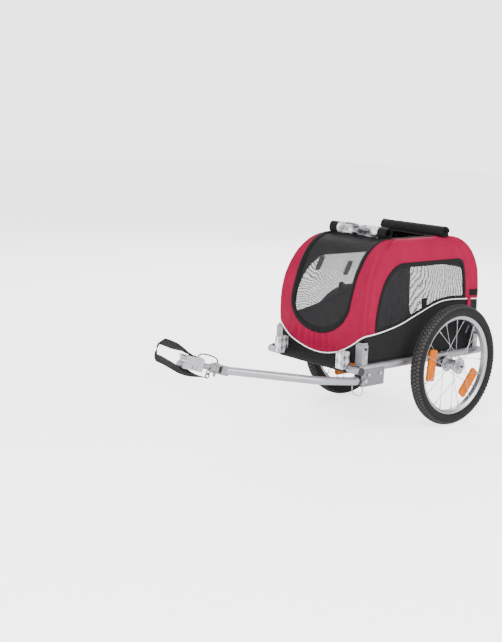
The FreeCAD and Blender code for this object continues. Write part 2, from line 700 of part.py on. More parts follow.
def build_axle(side, shape_of):
    """Quick-release axle through the hub and the frame's bracket, with a push button in its end."""
    hub_inner = WHEEL_X - HUB_LENGTH / 2
    hub_outer = WHEEL_X + HUB_LENGTH / 2
    bracket_face = SIDE_X + TUBE_RADIUS + AXLE_BRACKET_PROUD
    inner_end = V(SIDE_X - TUBE_RADIUS, 0, AXLE_Z)
    cap_start = V(hub_outer + SIDE_CLEARANCE, 0, AXLE_Z)
    cap_end = cap_start + V(AXLE_CAP, 0, 0)
    collar = V(bracket_face + SIDE_CLEARANCE, 0, AXLE_Z), V(hub_inner - SIDE_CLEARANCE, 0, AXLE_Z)
    pieces = [rod(inner_end, cap_end, AXLE_RADIUS), rod(*collar, AXLE_COLLAR_RADIUS)]
    axle = fuse(pieces + [rod(cap_start, cap_end, AXLE_CAP_RADIUS)])
    seat = cap_end - V(AXLE_BUTTON_DEPTH, 0, 0)
    axle = axle.cut(rod(seat, cap_end + V(OVERRUN, 0, 0), AXLE_BUTTON_RADIUS + RUNNING_FIT))
    save(side + "_axle", shape_of(largest(axle)))
    button_start = seat + V(BUTTON_PROUD, 0, 0)
    save(
        side + "_axle_button",
        shape_of(rod(button_start, cap_end + V(BUTTON_PROUD, 0, 0), AXLE_BUTTON_RADIUS)),
    )


# Tow bar
def build_tow_bar():
    mouth = V(SIDE_X, MOUTH_Y, TOW_BAR_Z)
    root = mouth + V(0, RECEIVER_LENGTH - TOW_BAR_ROOT_MARGIN, 0)
    elbow = mouth + V(-TOW_BAR_ELBOW[0], -TOW_BAR_ELBOW[1], TOW_BAR_ELBOW[2])
    route = [root, mouth - V(0, TOW_BAR_LEAD, 0), elbow, HITCH]
    bar = swept_tube(route, [TOW_BAR_FIRST_BEND, TOW_BAR_SECOND_BEND], TUBE_RADIUS, TUBE_WALL)
    pin_y = MOUTH_Y + LOCK_PIN_INSET
    plate_inner = TUBE_RADIUS + SIDE_CLEARANCE
    plate_outer = plate_inner + RECEIVER_PLATE
    reach = plate_outer + OVERRUN
    across = V(SIDE_X - reach, pin_y, TOW_BAR_Z), V(SIDE_X + reach, pin_y, TOW_BAR_Z)
    pin_hole = rod(*across, LOCK_PIN_RADIUS + RUNNING_FIT)
    save("tow_bar", largest(bar.cut(pin_hole)))
    cross = rod(V(0, CROSS_Y, CROSS_Z), V(2 * SIDE_X, CROSS_Y, CROSS_Z), TUBE_RADIUS + SIDE_CLEARANCE)
    plates = []
    bolt_cutters = []
    bolts = []
    for share in RECEIVER_BOLT_SHARES:
        y = MOUTH_Y + RECEIVER_LENGTH * share
        z = TOW_BAR_Z + RECEIVER_BOLT_RISE
        left = V(SIDE_X - plate_outer, y, z)
        right = V(SIDE_X + plate_outer, y, z)
        head = V(BOLT_HEAD, 0, 0)
        shank = rod(left, right, BOLT_RADIUS)
        bolt_cutters.append(shank)
        heads = [rod(left - head, left, BOLT_HEAD_RADIUS), rod(right, right + head, BOLT_HEAD_RADIUS)]
        bolts.append(fuse([shank] + heads))
    for side in (-1, 1):
        edges = sorted((SIDE_X + side * plate_inner, SIDE_X + side * plate_outer))
        plate = block(
            V(edges[0], MOUTH_Y, SIDE_Z - RECEIVER_DROP),
            V(edges[1], MOUTH_Y + RECEIVER_LENGTH, SIDE_Z),
        )
        for cutter in bolt_cutters + [pin_hole, cross]:
            plate = plate.cut(cutter)
        plates.append(largest(plate))
    save("tow_receiver", plates)
    save("receiver_bolts", bolts)
    seal = V(SIDE_X, MOUTH_Y - SEAL_LENGTH, TOW_BAR_Z), V(SIDE_X, MOUTH_Y, TOW_BAR_Z)
    save("receiver_seal", tube(*seal, TUBE_RADIUS + SEAL_THICKNESS, SEAL_THICKNESS - SIDE_CLEARANCE))
    build_lock_pin(pin_y, plate_outer)


def build_lock_pin(pin_y, plate_outer):
    """Pin through the receiver and the bar, with a wire bail on its head."""
    head_start = SIDE_X + plate_outer + SIDE_CLEARANCE
    head_end = head_start + LOCK_PIN_HEAD
    tip = V(SIDE_X - plate_outer - LOCK_PIN_TIP, pin_y, TOW_BAR_Z)
    shank = rod(tip, V(head_end, pin_y, TOW_BAR_Z), LOCK_PIN_RADIUS)
    head = rod(V(head_start, pin_y, TOW_BAR_Z), V(head_end, pin_y, TOW_BAR_Z), LOCK_PIN_HEAD_RADIUS)
    hinge_x = (head_start + head_end) / 2
    front = pin_y - LOCK_PIN_HEAD_RADIUS - BAIL_STANDOFF
    back = pin_y + LOCK_PIN_HEAD_RADIUS
    bore = rod(
        V(hinge_x, front, TOW_BAR_Z),
        V(hinge_x, back + OVERRUN, TOW_BAR_Z),
        BAIL_RADIUS + RUNNING_FIT,
    )
    save("lock_pin", largest(fuse([shank, head]).cut(bore)))
    far_x = SIDE_X - plate_outer - BAIL_TIP_MARGIN
    low_z = TOW_BAR_Z - BAIL_DROP
    points = [
        V(hinge_x, back, TOW_BAR_Z),
        V(hinge_x, front, TOW_BAR_Z),
        V(hinge_x, front, low_z),
        V(far_x, front, low_z),
        V(far_x, front, SIDE_Z - RECEIVER_DROP - BAIL_STANDOFF),
    ]
    save(
        "pin_bail",
        sweep(bent_path(points, [BAIL_STANDOFF - BAIL_RADIUS / 2, BAIL_BEND, BAIL_BEND]), BAIL_RADIUS),
    )
    print("lock pin hinge", hinge_x, pin_y, TOW_BAR_Z)


# Hitch
def on_hitch(shape):
    """Turn a shape from the hitch's own forward line, along -Y, to its place on the bar."""
    turned = shape.copy()
    turned.rotate(V(0, 0, 0), V(1, 0, 0), -HITCH_PITCH)
    turned.translate(HITCH)
    return turned


def ahead(forward, up=0, across=0):
    """Point on the hitch's own line."""
    return V(across, -forward, up)


def hitch_block(back, front, half_width, low, high):
    return block(V(-half_width, -front, low), V(half_width, -back, high))


def build_hitch():
    half_gap = EAR_GAP / 2
    ear_top = half_gap + EAR
    body = hitch_block(-FORK_BACK, FORK_FRONT, FORK_WIDTH / 2, -ear_top, ear_top)
    ears = []
    for low in (-ear_top, half_gap):
        ears.append(hitch_block(FORK_FRONT, FORK_FRONT + EAR_LENGTH, EAR_WIDTH / 2, low, low + EAR))
    bore = rod(
        ahead(HITCH_PIN_REACH, -ear_top - OVERRUN),
        ahead(HITCH_PIN_REACH, ear_top + OVERRUN),
        HITCH_PIN_RADIUS,
    )
    mouth = V(SIDE_X, MOUTH_Y, TOW_BAR_Z)
    elbow = mouth + V(-TOW_BAR_ELBOW[0], -TOW_BAR_ELBOW[1], TOW_BAR_ELBOW[2])
    fork = on_hitch(fuse([body] + ears).cut(bore)).cut(rod(elbow, HITCH, TUBE_RADIUS))
    save("hitch_fork", largest(fork))
    pin = rod(
        ahead(HITCH_PIN_REACH, -ear_top - HITCH_PIN_TAIL),
        ahead(HITCH_PIN_REACH, ear_top),
        HITCH_PIN_RADIUS,
    )
    head = rod(
        ahead(HITCH_PIN_REACH, ear_top),
        ahead(HITCH_PIN_REACH, ear_top + HITCH_PIN_HEAD),
        HITCH_PIN_HEAD_RADIUS,
    )
    save("hitch_pin", on_hitch(fuse([pin, head])))
    build_yoke(half_gap)
    save("flex_spring", on_hitch(coil_spring()))
    build_coupling()
    build_straps()


def build_yoke(half_gap):
    """Swivel between the fork's ears, with an eye below for the safety strap."""
    half = half_gap - SIDE_CLEARANCE
    barrel = rod(ahead(HITCH_PIN_REACH, -half), ahead(HITCH_PIN_REACH, half), YOKE_RADIUS)
    neck = hitch_block(HITCH_PIN_REACH, YOKE_REACH, YOKE_NECK_WIDTH / 2, -half, half)
    disc = rod(ahead(YOKE_REACH), ahead(SPRING_START), YOKE_DISC_RADIUS)
    eye_forward = YOKE_REACH + YOKE_DISC / 2
    eye = Part.makeTorus(EYE_RADIUS, LINK_WIRE, ahead(eye_forward, -EYE_DROP), V(1, 0, 0))
    yoke = fuse([barrel, neck, disc, eye])
    bore = rod(
        ahead(HITCH_PIN_REACH, -half - OVERRUN),
        ahead(HITCH_PIN_REACH, half + OVERRUN),
        HITCH_PIN_RADIUS + RUNNING_FIT,
    )
    save("swivel_yoke", on_hitch(largest(yoke.cut(bore))))
    link = Part.makeTorus(LINK_RADIUS, LINK_WIRE, ahead(eye_forward, -EYE_DROP - LINK_DROP), V(0, 1, 0))
    save("snap_hook", on_hitch(link))


def coil_spring():
    """Close-wound spring as one unbroken wire on biarcs of a quarter turn."""
    lead = SPRING_WIRE + SPRING_END_GAP
    pitch = (SPRING_LENGTH - 2 * lead) / SPRING_TURNS
    quarter = math.pi / 2

    def place(angle):
        rise = lead + pitch * angle / (2 * math.pi)
        return ahead(
            SPRING_START + rise, SPRING_RADIUS * math.sin(angle), SPRING_RADIUS * math.cos(angle),
        )

    def heading(angle):
        turn = V(
            -SPRING_RADIUS * math.sin(angle),
            -pitch / (2 * math.pi),
            SPRING_RADIUS * math.cos(angle),
        )
        return turn.normalize()

    edges = []
    points = []
    for index in range(4 * SPRING_TURNS):
        start, end = place(index * quarter), place((index + 1) * quarter)
        out, into = heading(index * quarter), heading((index + 1) * quarter)
        chord = end - start
        total = out + into
        bend = 2 * (1 - out.dot(into))
        along = chord.dot(total)
        leg = (math.sqrt(along * along + bend * chord.dot(chord)) - along) / bend
        first, second = start + out * leg, end - into * leg
        joint = (first + second) * 0.5
        edges += [corner_arc(start, first, joint), corner_arc(joint, second, end)]
        points += [place((index + share) * quarter) for share in (0, 1 / 3, 2 / 3)]
    least = min(
        (one - other).Length
        for index, one in enumerate(points)
        for other in points[index + 6:]
    )
    print("spring's least gap to itself", least - 2 * SPRING_WIRE)
    return sweep(Part.Wire(edges), SPRING_WIRE)


def build_coupling():
    """Clamp block with a half-round jaw for a round stay, and its two bolts."""
    half_height = COUPLING_HEIGHT / 2
    body = hitch_block(COUPLING_START, COUPLING_END, COUPLING_WIDTH / 2, -half_height, half_height)
    rims = [edge for edge in body.Edges if abs(edge.tangentAt(0).x) > math.cos(math.pi / 4)]
    body = body.makeFillet(COUPLING_EDGE, rims)
    jaw_forward = COUPLING_END + JAW_SETBACK
    side = COUPLING_WIDTH / 2 + OVERRUN
    jaw = rod(ahead(jaw_forward, JAW_RISE, -side), ahead(jaw_forward, JAW_RISE, side), JAW_RADIUS)
    body = body.cut(jaw)
    bolts = []
    for share in COUPLING_BOLT_SHARES:
        forward = COUPLING_START + COUPLING_LENGTH * (1 - share)
        half = COUPLING_WIDTH / 2
        shank = rod(
            ahead(forward, -half_height / 2, -half),
            ahead(forward, -half_height / 2, half),
            BOLT_RADIUS,
        )
        body = body.cut(shank)
        heads = []
        for sign in (-1, 1):
            face = ahead(forward, -half_height / 2, sign * half)
            heads.append(rod(face, face + V(sign * BOLT_HEAD, 0, 0), BOLT_HEAD_RADIUS))
        bolts.append(on_hitch(fuse([shank] + heads)))
    save("coupling_block", on_hitch(largest(body)))
    save("coupling_bolts", bolts)
    jaw_place = on_hitch(Part.Vertex(ahead(jaw_forward, JAW_RISE))).Point
    print("jaw", jaw_place, "flex", on_hitch(Part.Vertex(ahead(FLEX_CENTRE))).Point)
    print("yaw", on_hitch(Part.Vertex(ahead(HITCH_PIN_REACH))).Point)


def webbing(points, bends):
    """Flat strap along a path in the hitch's upright plane."""
    path = bent_path([ahead(*point) for point in points], bends)
    start = path.Edges[0]
    first = start.valueAt(start.FirstParameter)
    heading = start.tangentAt(start.FirstParameter)
    across = V(WEBBING_WIDTH / 2, 0, 0)
    thick = heading.cross(V(1, 0, 0)) * (WEBBING / 2)
    corners = [
        first + across + thick,
        first - across + thick,
        first - across - thick,
        first + across - thick,
    ]
    section = Part.makePolygon(corners + [corners[0]])
    return on_hitch(path.makePipeShell([section], True, False))


def build_straps():
    top = COUPLING_HEIGHT / 2
    ring_back = COUPLING_START + RING_SETBACK
    ring_front = ring_back + RING_LENGTH
    outer = hitch_block(ring_back, ring_front, RING_WIDTH / 2, top, top + RING_WIRE)
    inner = hitch_block(
        ring_back + RING_WIRE,
        ring_front - RING_WIRE,
        RING_WIDTH / 2 - RING_WIRE,
        top - OVERRUN,
        top + OVERRUN,
    )
    save("strap_ring", on_hitch(outer.cut(inner)))
    start = (ring_front + SIDE_CLEARANCE, top + WEBBING / 2)
    high = STRAP_FRONT[1]
    low = high - 2 * STRAP_LOOP_RADIUS
    over = STRAP_FRONT[0] + STRAP_LOOP_RADIUS
    route = [
        start,
        STRAP_MIDDLE,
        STRAP_FRONT,
        (over, high),
        (over, low),
        (STRAP_FRONT[0], low),
        STRAP_BACK,
    ]
    turn = STRAP_LOOP_RADIUS * STRAP_TURN_SHARE
    save("strap_loop", webbing(route, [STRAP_BEND, STRAP_BEND, turn, turn, STRAP_BEND]))
    tether_start = (STRAP_BACK[0] - SIDE_CLEARANCE * 2, STRAP_BACK[1])
    save("safety_tether", webbing([tether_start, TETHER_MIDDLE, TETHER_END], [STRAP_BEND]))
    build_leash(ring_back + RING_WIRE / 2, top + RING_WIRE)


def build_leash(ring_forward, ring_top):
    """Round lanyard from the head of the hitch pin to the ring on the coupling."""
    pin_top = EAR_GAP / 2 + EAR + HITCH_PIN_HEAD
    first = ahead(HITCH_PIN_REACH, pin_top + LEASH_GAP)
    last = ahead(ring_forward, ring_top + LEASH_GAP)
    rise = V(0, 0, LEASH_FIRST_RISE)
    fall = V(0, 0, LEASH_LAST_RISE)
    path = bent_path([first, first + rise, last + fall, last], [LEASH_BEND, LEASH_BEND])
    save("pin_leash", on_hitch(sweep(path, LEASH_RADIUS)))


# Cabin cover
def cabin_profile(inset):
    """Face of the cabin seen from the side, its skin taken off to the given depth."""
    front = -CABIN_FRONT_REACH + inset
    top = ROOF_Z - inset
    bend_z = ROOF_Z - SHOULDER_HEIGHT
    front_centre = V(0, FRONT_BEND_DEPTH - CABIN_FRONT_REACH, bend_z)
    rear_top = CABIN_REAR_REACH - REAR_LEAN - inset
    rear_z = ROOF_Z - REAR_BEND_HEIGHT
    rear_centre = V(0, CABIN_REAR_REACH - REAR_LEAN - REAR_BEND_DEPTH, rear_z)
    bottom_front = V(0, front, CABIN_BOTTOM)
    bottom_rear = V(0, CABIN_REAR_REACH - inset, CABIN_BOTTOM)
    front_up = V(0, 0, top - bend_z)
    front_out = V(0, front - front_centre.y, 0)
    rear_up = V(0, 0, top - rear_z)
    rear_out = V(0, rear_top - rear_centre.y, 0)
    edges = [
        line(bottom_front, bottom_rear),
        line(bottom_rear, rear_centre + rear_out),
        quarter_ellipse(rear_centre, rear_up, rear_out),
        line(rear_centre + rear_up, front_centre + front_up),
        quarter_ellipse(front_centre, front_up, front_out),
        line(front_centre + front_out, bottom_front),
    ]
    return outline_face(edges)


def cabin_front_view(inset):
    """Face of the cabin seen from the front, with its rounded shoulders."""
    half = CABIN_HALF - inset
    top = ROOF_Z - inset
    bend_z = ROOF_Z - SHOULDER_HEIGHT
    up = V(0, 0, top - bend_z)
    edges = []
    crowns = []
    for side in (-1, 1):
        centre = V(side * (CABIN_HALF - SHOULDER_WIDTH), 0, bend_z)
        out = V(side * half - centre.x, 0, 0)
        edges.append(quarter_ellipse(centre, up, out))
        edges.append(line(centre + out, V(side * half, 0, CABIN_BOTTOM)))
        crowns.append(centre + up)
    edges.append(line(*crowns))
    edges.append(line(V(-half, 0, CABIN_BOTTOM), V(half, 0, CABIN_BOTTOM)))
    return outline_face(edges)


def through_x(face, reach):
    """Prism of a side-view face across the whole width."""
    moved = face.copy()
    moved.translate(V(-reach, 0, 0))
    return moved.extrude(V(2 * reach, 0, 0))


def through_y(face, low, high):
    """Prism of a front-view face between two places along the trailer."""
    moved = face.copy()
    moved.translate(V(0, low, 0))
    return moved.extrude(V(0, high - low, 0))


def side_piping():
    """Line of the side's piping, from the front corner to the rear wall."""
    front = -CABIN_FRONT_REACH - OVERRUN
    length = CABIN_REAR_REACH + CABIN_FRONT_REACH + 2 * OVERRUN
    low = CABIN_BOTTOM + PIPING_FRONT_RISE
    rise = PIPING_REAR_RISE - PIPING_FRONT_RISE
    points = [V(0, front + length * along, low + rise * up) for along, up in PIPING_SHARES]
    curve = Part.BSplineCurve()
    curve.interpolate(points)
    return curve.toShape(), points[0], points[-1]


def below_piping():
    """Everything under the piping: a dip across the front, a rising line along the sides."""
    curve, first, last = side_piping()
    base = CABIN_BOTTOM - OVERRUN
    low_first = V(0, first.y, base)
    low_last = V(0, last.y, base)
    side_face = outline_face(
        [curve, line(last, low_last), line(low_last, low_first), line(low_first, first)],
    )
    front_zone = -CABIN_FRONT_REACH + FRONT_BEND_DEPTH * FRONT_ZONE_SHARE
    wide = CABIN_HALF + OVERRUN
    sides = through_x(side_face, wide)
    sides = sides.cut(
        block(V(-CABIN_HALF + CLOTH, first.y, base), V(CABIN_HALF - CLOTH, front_zone, ROOF_Z)),
    )
    corner_z = CABIN_BOTTOM + PIPING_FRONT_RISE
    left = V(-CABIN_HALF, 0, corner_z)
    right = V(CABIN_HALF, 0, corner_z)
    dip = Part.Arc(left, V(0, 0, corner_z - PIPING_DIP), right).toShape()
    left_base = V(-CABIN_HALF, 0, base)
    right_base = V(CABIN_HALF, 0, base)
    front_face = outline_face(
        [dip, line(right, right_base), line(right_base, left_base), line(left_base, left)],
    )
    front = through_y(front_face, first.y, front_zone)
    front = front.common(
        block(V(-CABIN_HALF + CLOTH, first.y, base), V(CABIN_HALF - CLOTH, front_zone, ROOF_Z)),
    )
    return sides.fuse(front)


def corner_notches():
    """Clear space in the cover about the four hinge brackets."""
    inner = FOOT_X - FOOT_WIDTH / 2 - SIDE_CLEARANCE - BRACKET_WALL - PIN_HEAD - CORNER_NOTCH
    outer = CABIN_HALF + OVERRUN
    reach = FOOT_DEPTH / 2 + CORNER_NOTCH
    top = PIVOT_Z + FOOT_HEIGHT + CORNER_NOTCH
    base = CABIN_BOTTOM - OVERRUN
    front = block(V(inner, -CABIN_FRONT_REACH - OVERRUN, base), V(outer, FRONT_PIVOT_Y + reach, top))
    rear = block(V(inner, REAR_PIVOT_Y - reach, base), V(outer, CABIN_REAR_REACH + OVERRUN, top))
    return pair(front) + pair(rear)


def front_window_prism():
    """Bowl-shaped window in the front, running up on to the roof."""
    half = FRONT_WINDOW_WIDTH / 2
    low = CABIN_BOTTOM + FRONT_WINDOW_RISE
    middle_z = low + FRONT_WINDOW_BOWL
    centre = V(0, 0, middle_z)
    down = V(0, 0, low - middle_z)
    top = ROOF_Z + OVERRUN
    edges = [
        quarter_ellipse(centre, V(-half, 0, 0), down), quarter_ellipse(centre, V(half, 0, 0), down),
    ]
    edges.append(line(V(-half, 0, middle_z), V(-half, 0, top)))
    edges.append(line(V(half, 0, middle_z), V(half, 0, top)))
    edges.append(line(V(-half, 0, top), V(half, 0, top)))
    return through_y(outline_face(edges), -CABIN_FRONT_REACH - OVERRUN, -FRONT_WINDOW_TOP_REACH)


def side_window_prism():
    """Large window in each side, its lower edge on the piping."""
    front = -SIDE_WINDOW_FRONT_REACH
    top = CABIN_BOTTOM + SIDE_WINDOW_TOP_RISE
    low = CABIN_BOTTOM
    shoulder = V(0, front + SIDE_WINDOW_SHOULDER_LENGTH, top - SIDE_WINDOW_SHOULDER_HEIGHT)
    rear_top = V(0, SIDE_WINDOW_REAR_REACH - SIDE_WINDOW_REAR_LEAN, top)
    rear_low = V(0, SIDE_WINDOW_REAR_REACH, low)
    front_low = V(0, front, low)
    up = V(0, 0, SIDE_WINDOW_SHOULDER_HEIGHT)
    out = V(0, -SIDE_WINDOW_SHOULDER_LENGTH, 0)
    edges = [
        quarter_ellipse(shoulder, up, out),
        line(shoulder + up, rear_top),
        line(rear_top, rear_low),
        line(rear_low, front_low),
        line(front_low, shoulder + out),
    ]
    return through_x(outline_face(edges), CABIN_HALF + OVERRUN)


def rear_window_prism(start):
    """Wide window with rounded corners in the rear wall, partly in its black part."""
    half = CABIN_HALF - REAR_WINDOW_MARGIN
    low = CABIN_BOTTOM + REAR_WINDOW_RISE
    high = low + REAR_WINDOW_HEIGHT
    opening = block(V(-half, start, low), V(half, CABIN_REAR_REACH + OVERRUN, high))
    corners = [edge for edge in opening.Edges if abs(edge.tangentAt(0).y) > math.cos(math.pi / 4)]
    return opening.makeFillet(REAR_WINDOW_CORNER, corners)


def pieces_of(shape, count):
    """The largest solids of a cut, most voluminous first."""
    return sorted(shape.Solids, key=lambda solid: -solid.Volume)[:count]


def build_cover():
    wide = CABIN_HALF + OVERRUN
    long_low = -CABIN_FRONT_REACH - OVERRUN
    long_high = CABIN_REAR_REACH + OVERRUN
    outer_side = through_x(cabin_profile(0), wide)
    inner_side = through_x(cabin_profile(CLOTH), wide)
    outer_front = through_y(cabin_front_view(0), long_low, long_high)
    inner_front = through_y(cabin_front_view(CLOTH), long_low, long_high)
    floor_gap = block(V(-wide, long_low, CABIN_BOTTOM - OVERRUN), V(wide, long_high, CABIN_BOTTOM))
    band = outer_side.cut(inner_side).common(outer_front).cut(floor_gap)
    skins = outer_front.cut(inner_front).common(inner_side).cut(floor_gap)
    base = block(
        V(-CABIN_HALF + CLOTH, -CABIN_FRONT_REACH + CLOTH, CABIN_BOTTOM - OVERRUN),
        V(CABIN_HALF - CLOTH, CABIN_REAR_REACH - CLOTH, CABIN_BOTTOM + CLOTH),
    )
    band = band.cut(base)
    skins = skins.cut(base)
    lower = below_piping()
    notches = corner_notches()
    front_cut = -CABIN_FRONT_REACH + FRONT_BEND_DEPTH
    rear_cut = CABIN_REAR_REACH - REAR_LEAN - REAR_BEND_DEPTH
    front_zone = block(V(-wide, long_low, CABIN_BOTTOM), V(wide, front_cut, ROOF_Z + OVERRUN))
    rear_zone = block(V(-wide, rear_cut, CABIN_BOTTOM), V(wide, long_high, ROOF_Z + OVERRUN))
    window = front_window_prism()
    side_window = side_window_prism()
    front_band = band.common(front_zone)
    rear_band = band.common(rear_zone)
    roof_band = band.cut(front_zone).cut(rear_zone)
    hatch = block(
        V(-HATCH_WIDTH / 2, -HATCH_FRONT_REACH, ROOF_Z - OVERRUN),
        V(HATCH_WIDTH / 2, HATCH_REAR_REACH, ROOF_Z + OVERRUN),
    )
    save("cover_front", largest(front_band.cut(lower).cut(window)))
    save("cover_roof", largest(roof_band.cut(hatch)))
    rear_window = rear_window_prism(rear_cut)
    save("cover_rear", largest(rear_band.cut(lower).cut(rear_window)))
    upper_skins = skins.cut(lower)
    left, right = sorted(
        pieces_of(upper_skins.cut(side_window), 2), key=lambda solid: -solid.CenterOfMass.x,
    )
    save("cover_left", left)
    save("cover_right", right)
    glazing = pieces_of(front_band.common(window), 1) + pieces_of(upper_skins.common(side_window), 2)
    glazing += pieces_of(rear_band.common(rear_window), 1)
    save("mesh_windows", glazing)
    rear_wall = rear_band.common(lower).cut(rear_window)
    walls = front_band.common(lower), rear_wall, skins.common(lower)
    lower_pieces = []
    for wall, count in zip(walls, (1, 1, 2)):
        for notch in notches:
            wall = wall.cut(notch)
        lower_pieces += pieces_of(wall, count)
    save("lower_walls", lower_pieces + [front_wrap()])
    rolls = (
        ("rain_cover_roll", RAIN_ROLL_RADIUS, RAIN_ROLL_LENGTH, -RAIN_ROLL_REACH),
        ("roof_cover_roll", COVER_ROLL_RADIUS, COVER_ROLL_LENGTH, COVER_ROLL_REACH),
    )
    for name, radius, length, y in rolls:
        z = ROOF_Z + radius + ROLL_REST_GAP
        save(name, rod(V(-length / 2, y, z), V(length / 2, y, z), radius))


def front_wrap():
    """Black cloth drawn round the front of the cross tube."""
    ends = V(-WRAP_HALF_WIDTH, CROSS_Y, CROSS_Z), V(WRAP_HALF_WIDTH, CROSS_Y, CROSS_Z)
    wrap = tube(*ends, TUBE_RADIUS + WRAP_GAP + CLOTH, CLOTH)
    keep = block(
        V(-WRAP_HALF_WIDTH, CROSS_Y - FRONT_CROSS_REACH, CROSS_Z - TUBE_RADIUS),
        V(WRAP_HALF_WIDTH, CROSS_Y, SIDE_Z + TUBE_RADIUS),
    )
    return largest(wrap.common(keep))


# The whole trailer
def main():
    build_tubes()
    build_floor()
    build_axle_brackets()
    build_reflectors()
    build_hoops()
    build_tow_bar()
    build_hitch()
    for side, shape_of in (("left", lambda shape: shape), ("right", mirrored)):
        build_wheel(side, shape_of)
        build_axle(side, shape_of)
    build_cover()
    front = SHAPES["strap_loop"].BoundBox.YMin
    shift = V(0, -(front + WHEEL_RADIUS) / 2, 0)
    os.makedirs("parts", exist_ok=True)
    for node, shape in SHAPES.items():
        placed = shape.copy()
        placed.translate(shift)
        placed.exportStep("parts/" + node + ".step")
        valid = all(solid.isValid() for solid in placed.Solids)
        print(node, len(placed.Solids), round(placed.Volume), "valid" if valid else "NOT VALID")
    print("shift along Y", shift.y)
    print("front pivot", FOOT_X, FRONT_PIVOT_Y + shift.y, PIVOT_Z, "rear", REAR_PIVOT_Y + shift.y)


main()
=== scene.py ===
# %% [markdown]
# # A dog bike trailer, dressed for its portrait
#
# The measured model already says where every tube, hinge and wheel is. This lesson puts
# the looks around it: a sewn cloth cabin, mesh windows, webbing, tread, spokes and metal
# finishes. Each step first says what the real thing is, then how it is made here.

# %% Tools and frame
import json
import math

import bmesh
import bpy
from mathutils import Matrix, Vector, noise


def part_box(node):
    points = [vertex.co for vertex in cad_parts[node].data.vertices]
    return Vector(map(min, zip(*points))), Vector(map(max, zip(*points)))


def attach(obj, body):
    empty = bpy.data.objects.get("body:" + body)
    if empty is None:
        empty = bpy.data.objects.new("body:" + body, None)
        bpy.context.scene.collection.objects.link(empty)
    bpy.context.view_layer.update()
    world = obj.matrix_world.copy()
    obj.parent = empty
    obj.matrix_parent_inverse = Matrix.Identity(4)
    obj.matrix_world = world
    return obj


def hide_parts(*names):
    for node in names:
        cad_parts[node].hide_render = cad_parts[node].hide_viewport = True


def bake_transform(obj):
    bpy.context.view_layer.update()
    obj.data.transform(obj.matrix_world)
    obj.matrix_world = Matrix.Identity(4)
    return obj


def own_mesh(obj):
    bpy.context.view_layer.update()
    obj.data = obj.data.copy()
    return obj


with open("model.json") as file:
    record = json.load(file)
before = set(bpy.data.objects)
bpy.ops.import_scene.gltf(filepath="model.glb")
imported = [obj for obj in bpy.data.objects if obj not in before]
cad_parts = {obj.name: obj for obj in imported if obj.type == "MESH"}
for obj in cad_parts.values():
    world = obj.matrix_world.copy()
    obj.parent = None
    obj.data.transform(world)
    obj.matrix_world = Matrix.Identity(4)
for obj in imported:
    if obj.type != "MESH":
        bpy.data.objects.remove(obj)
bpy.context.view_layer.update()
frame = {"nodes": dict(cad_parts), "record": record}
NODES = frame["nodes"]
MM = 0.001
TURN = 2 * math.pi

# %% [markdown]
# ## Camera
# The picture was taken from the front left corner, a little above the cabin's middle, with
# the camera leaning by about two degrees. Turning right and up by that roll, around the
# line of sight, gives the camera's own axes, which are the columns of its matrix.

# %% Camera
AZIMUTH = math.radians(48.55)
ELEVATION = math.radians(10.58)
ROLL = math.radians(2.35)
TARGET = Vector((-0.1677, -0.0760, 0.3257))
DISTANCE = 3.7037
LENS, SENSOR = 64.49, 36


def camera_matrix():
    """The camera's place and axes, from its bearing, height and roll."""
    back = Vector((math.sin(AZIMUTH) * math.cos(ELEVATION),
                   -math.cos(AZIMUTH) * math.cos(ELEVATION),
                   math.sin(ELEVATION)))
    level = Vector((math.cos(AZIMUTH), math.sin(AZIMUTH), 0))
    rise = back.cross(level)
    right = math.cos(ROLL) * level + math.sin(ROLL) * rise
    up = math.cos(ROLL) * rise - math.sin(ROLL) * level
    turned = Matrix((right, up, back)).transposed().to_4x4()
    turned.translation = TARGET + back * DISTANCE
    return turned


camera = bpy.data.objects.new("camera", bpy.data.cameras.new("camera"))
camera.data.lens = LENS
camera.data.sensor_width = SENSOR
camera.matrix_world = camera_matrix()
bpy.context.collection.objects.link(camera)
bpy.context.scene.camera = camera
print("camera at", [round(c, 3) for c in camera.matrix_world.translation])

# %% [markdown]
# ## Shaders as formulas
# A finish is a formula on the place of a point: noise for dye and dust, waves for threads
# and prisms. A small class wraps a socket, so that such a formula can be written in Python
# and turns itself into Math nodes.

# %% Sockets in expressions
FINISH = {}


class Val:
    """One socket. Operators on it add Math nodes, so a formula reads as a formula."""

    def __init__(self, paint, socket):
        self.paint = paint
        self.socket = socket

    def math(self, operation, *others):
        return self.paint.node("ShaderNodeMath", {"operation": operation},
                               dict(enumerate((self, *others))))

    def __add__(self, other):
        return self.math("ADD", other)

    def __mul__(self, other):
        return self.math("MULTIPLY", other)

    def __sub__(self, other):
        return self.math("SUBTRACT", other)

    def __rsub__(self, other):
        return self * -1 + other

    __radd__ = __add__
    __rmul__ = __mul__

    def ripple(self, pitch):
        """A sine wave that repeats after that many metres."""
        return (self * (TURN / pitch)).math("SINE")

    def size(self):
        return self.math("ABSOLUTE")

    def clip(self):
        return self.math("MAXIMUM", 0.0).math("MINIMUM", 1.0)


print("socket values: sums, differences and products")

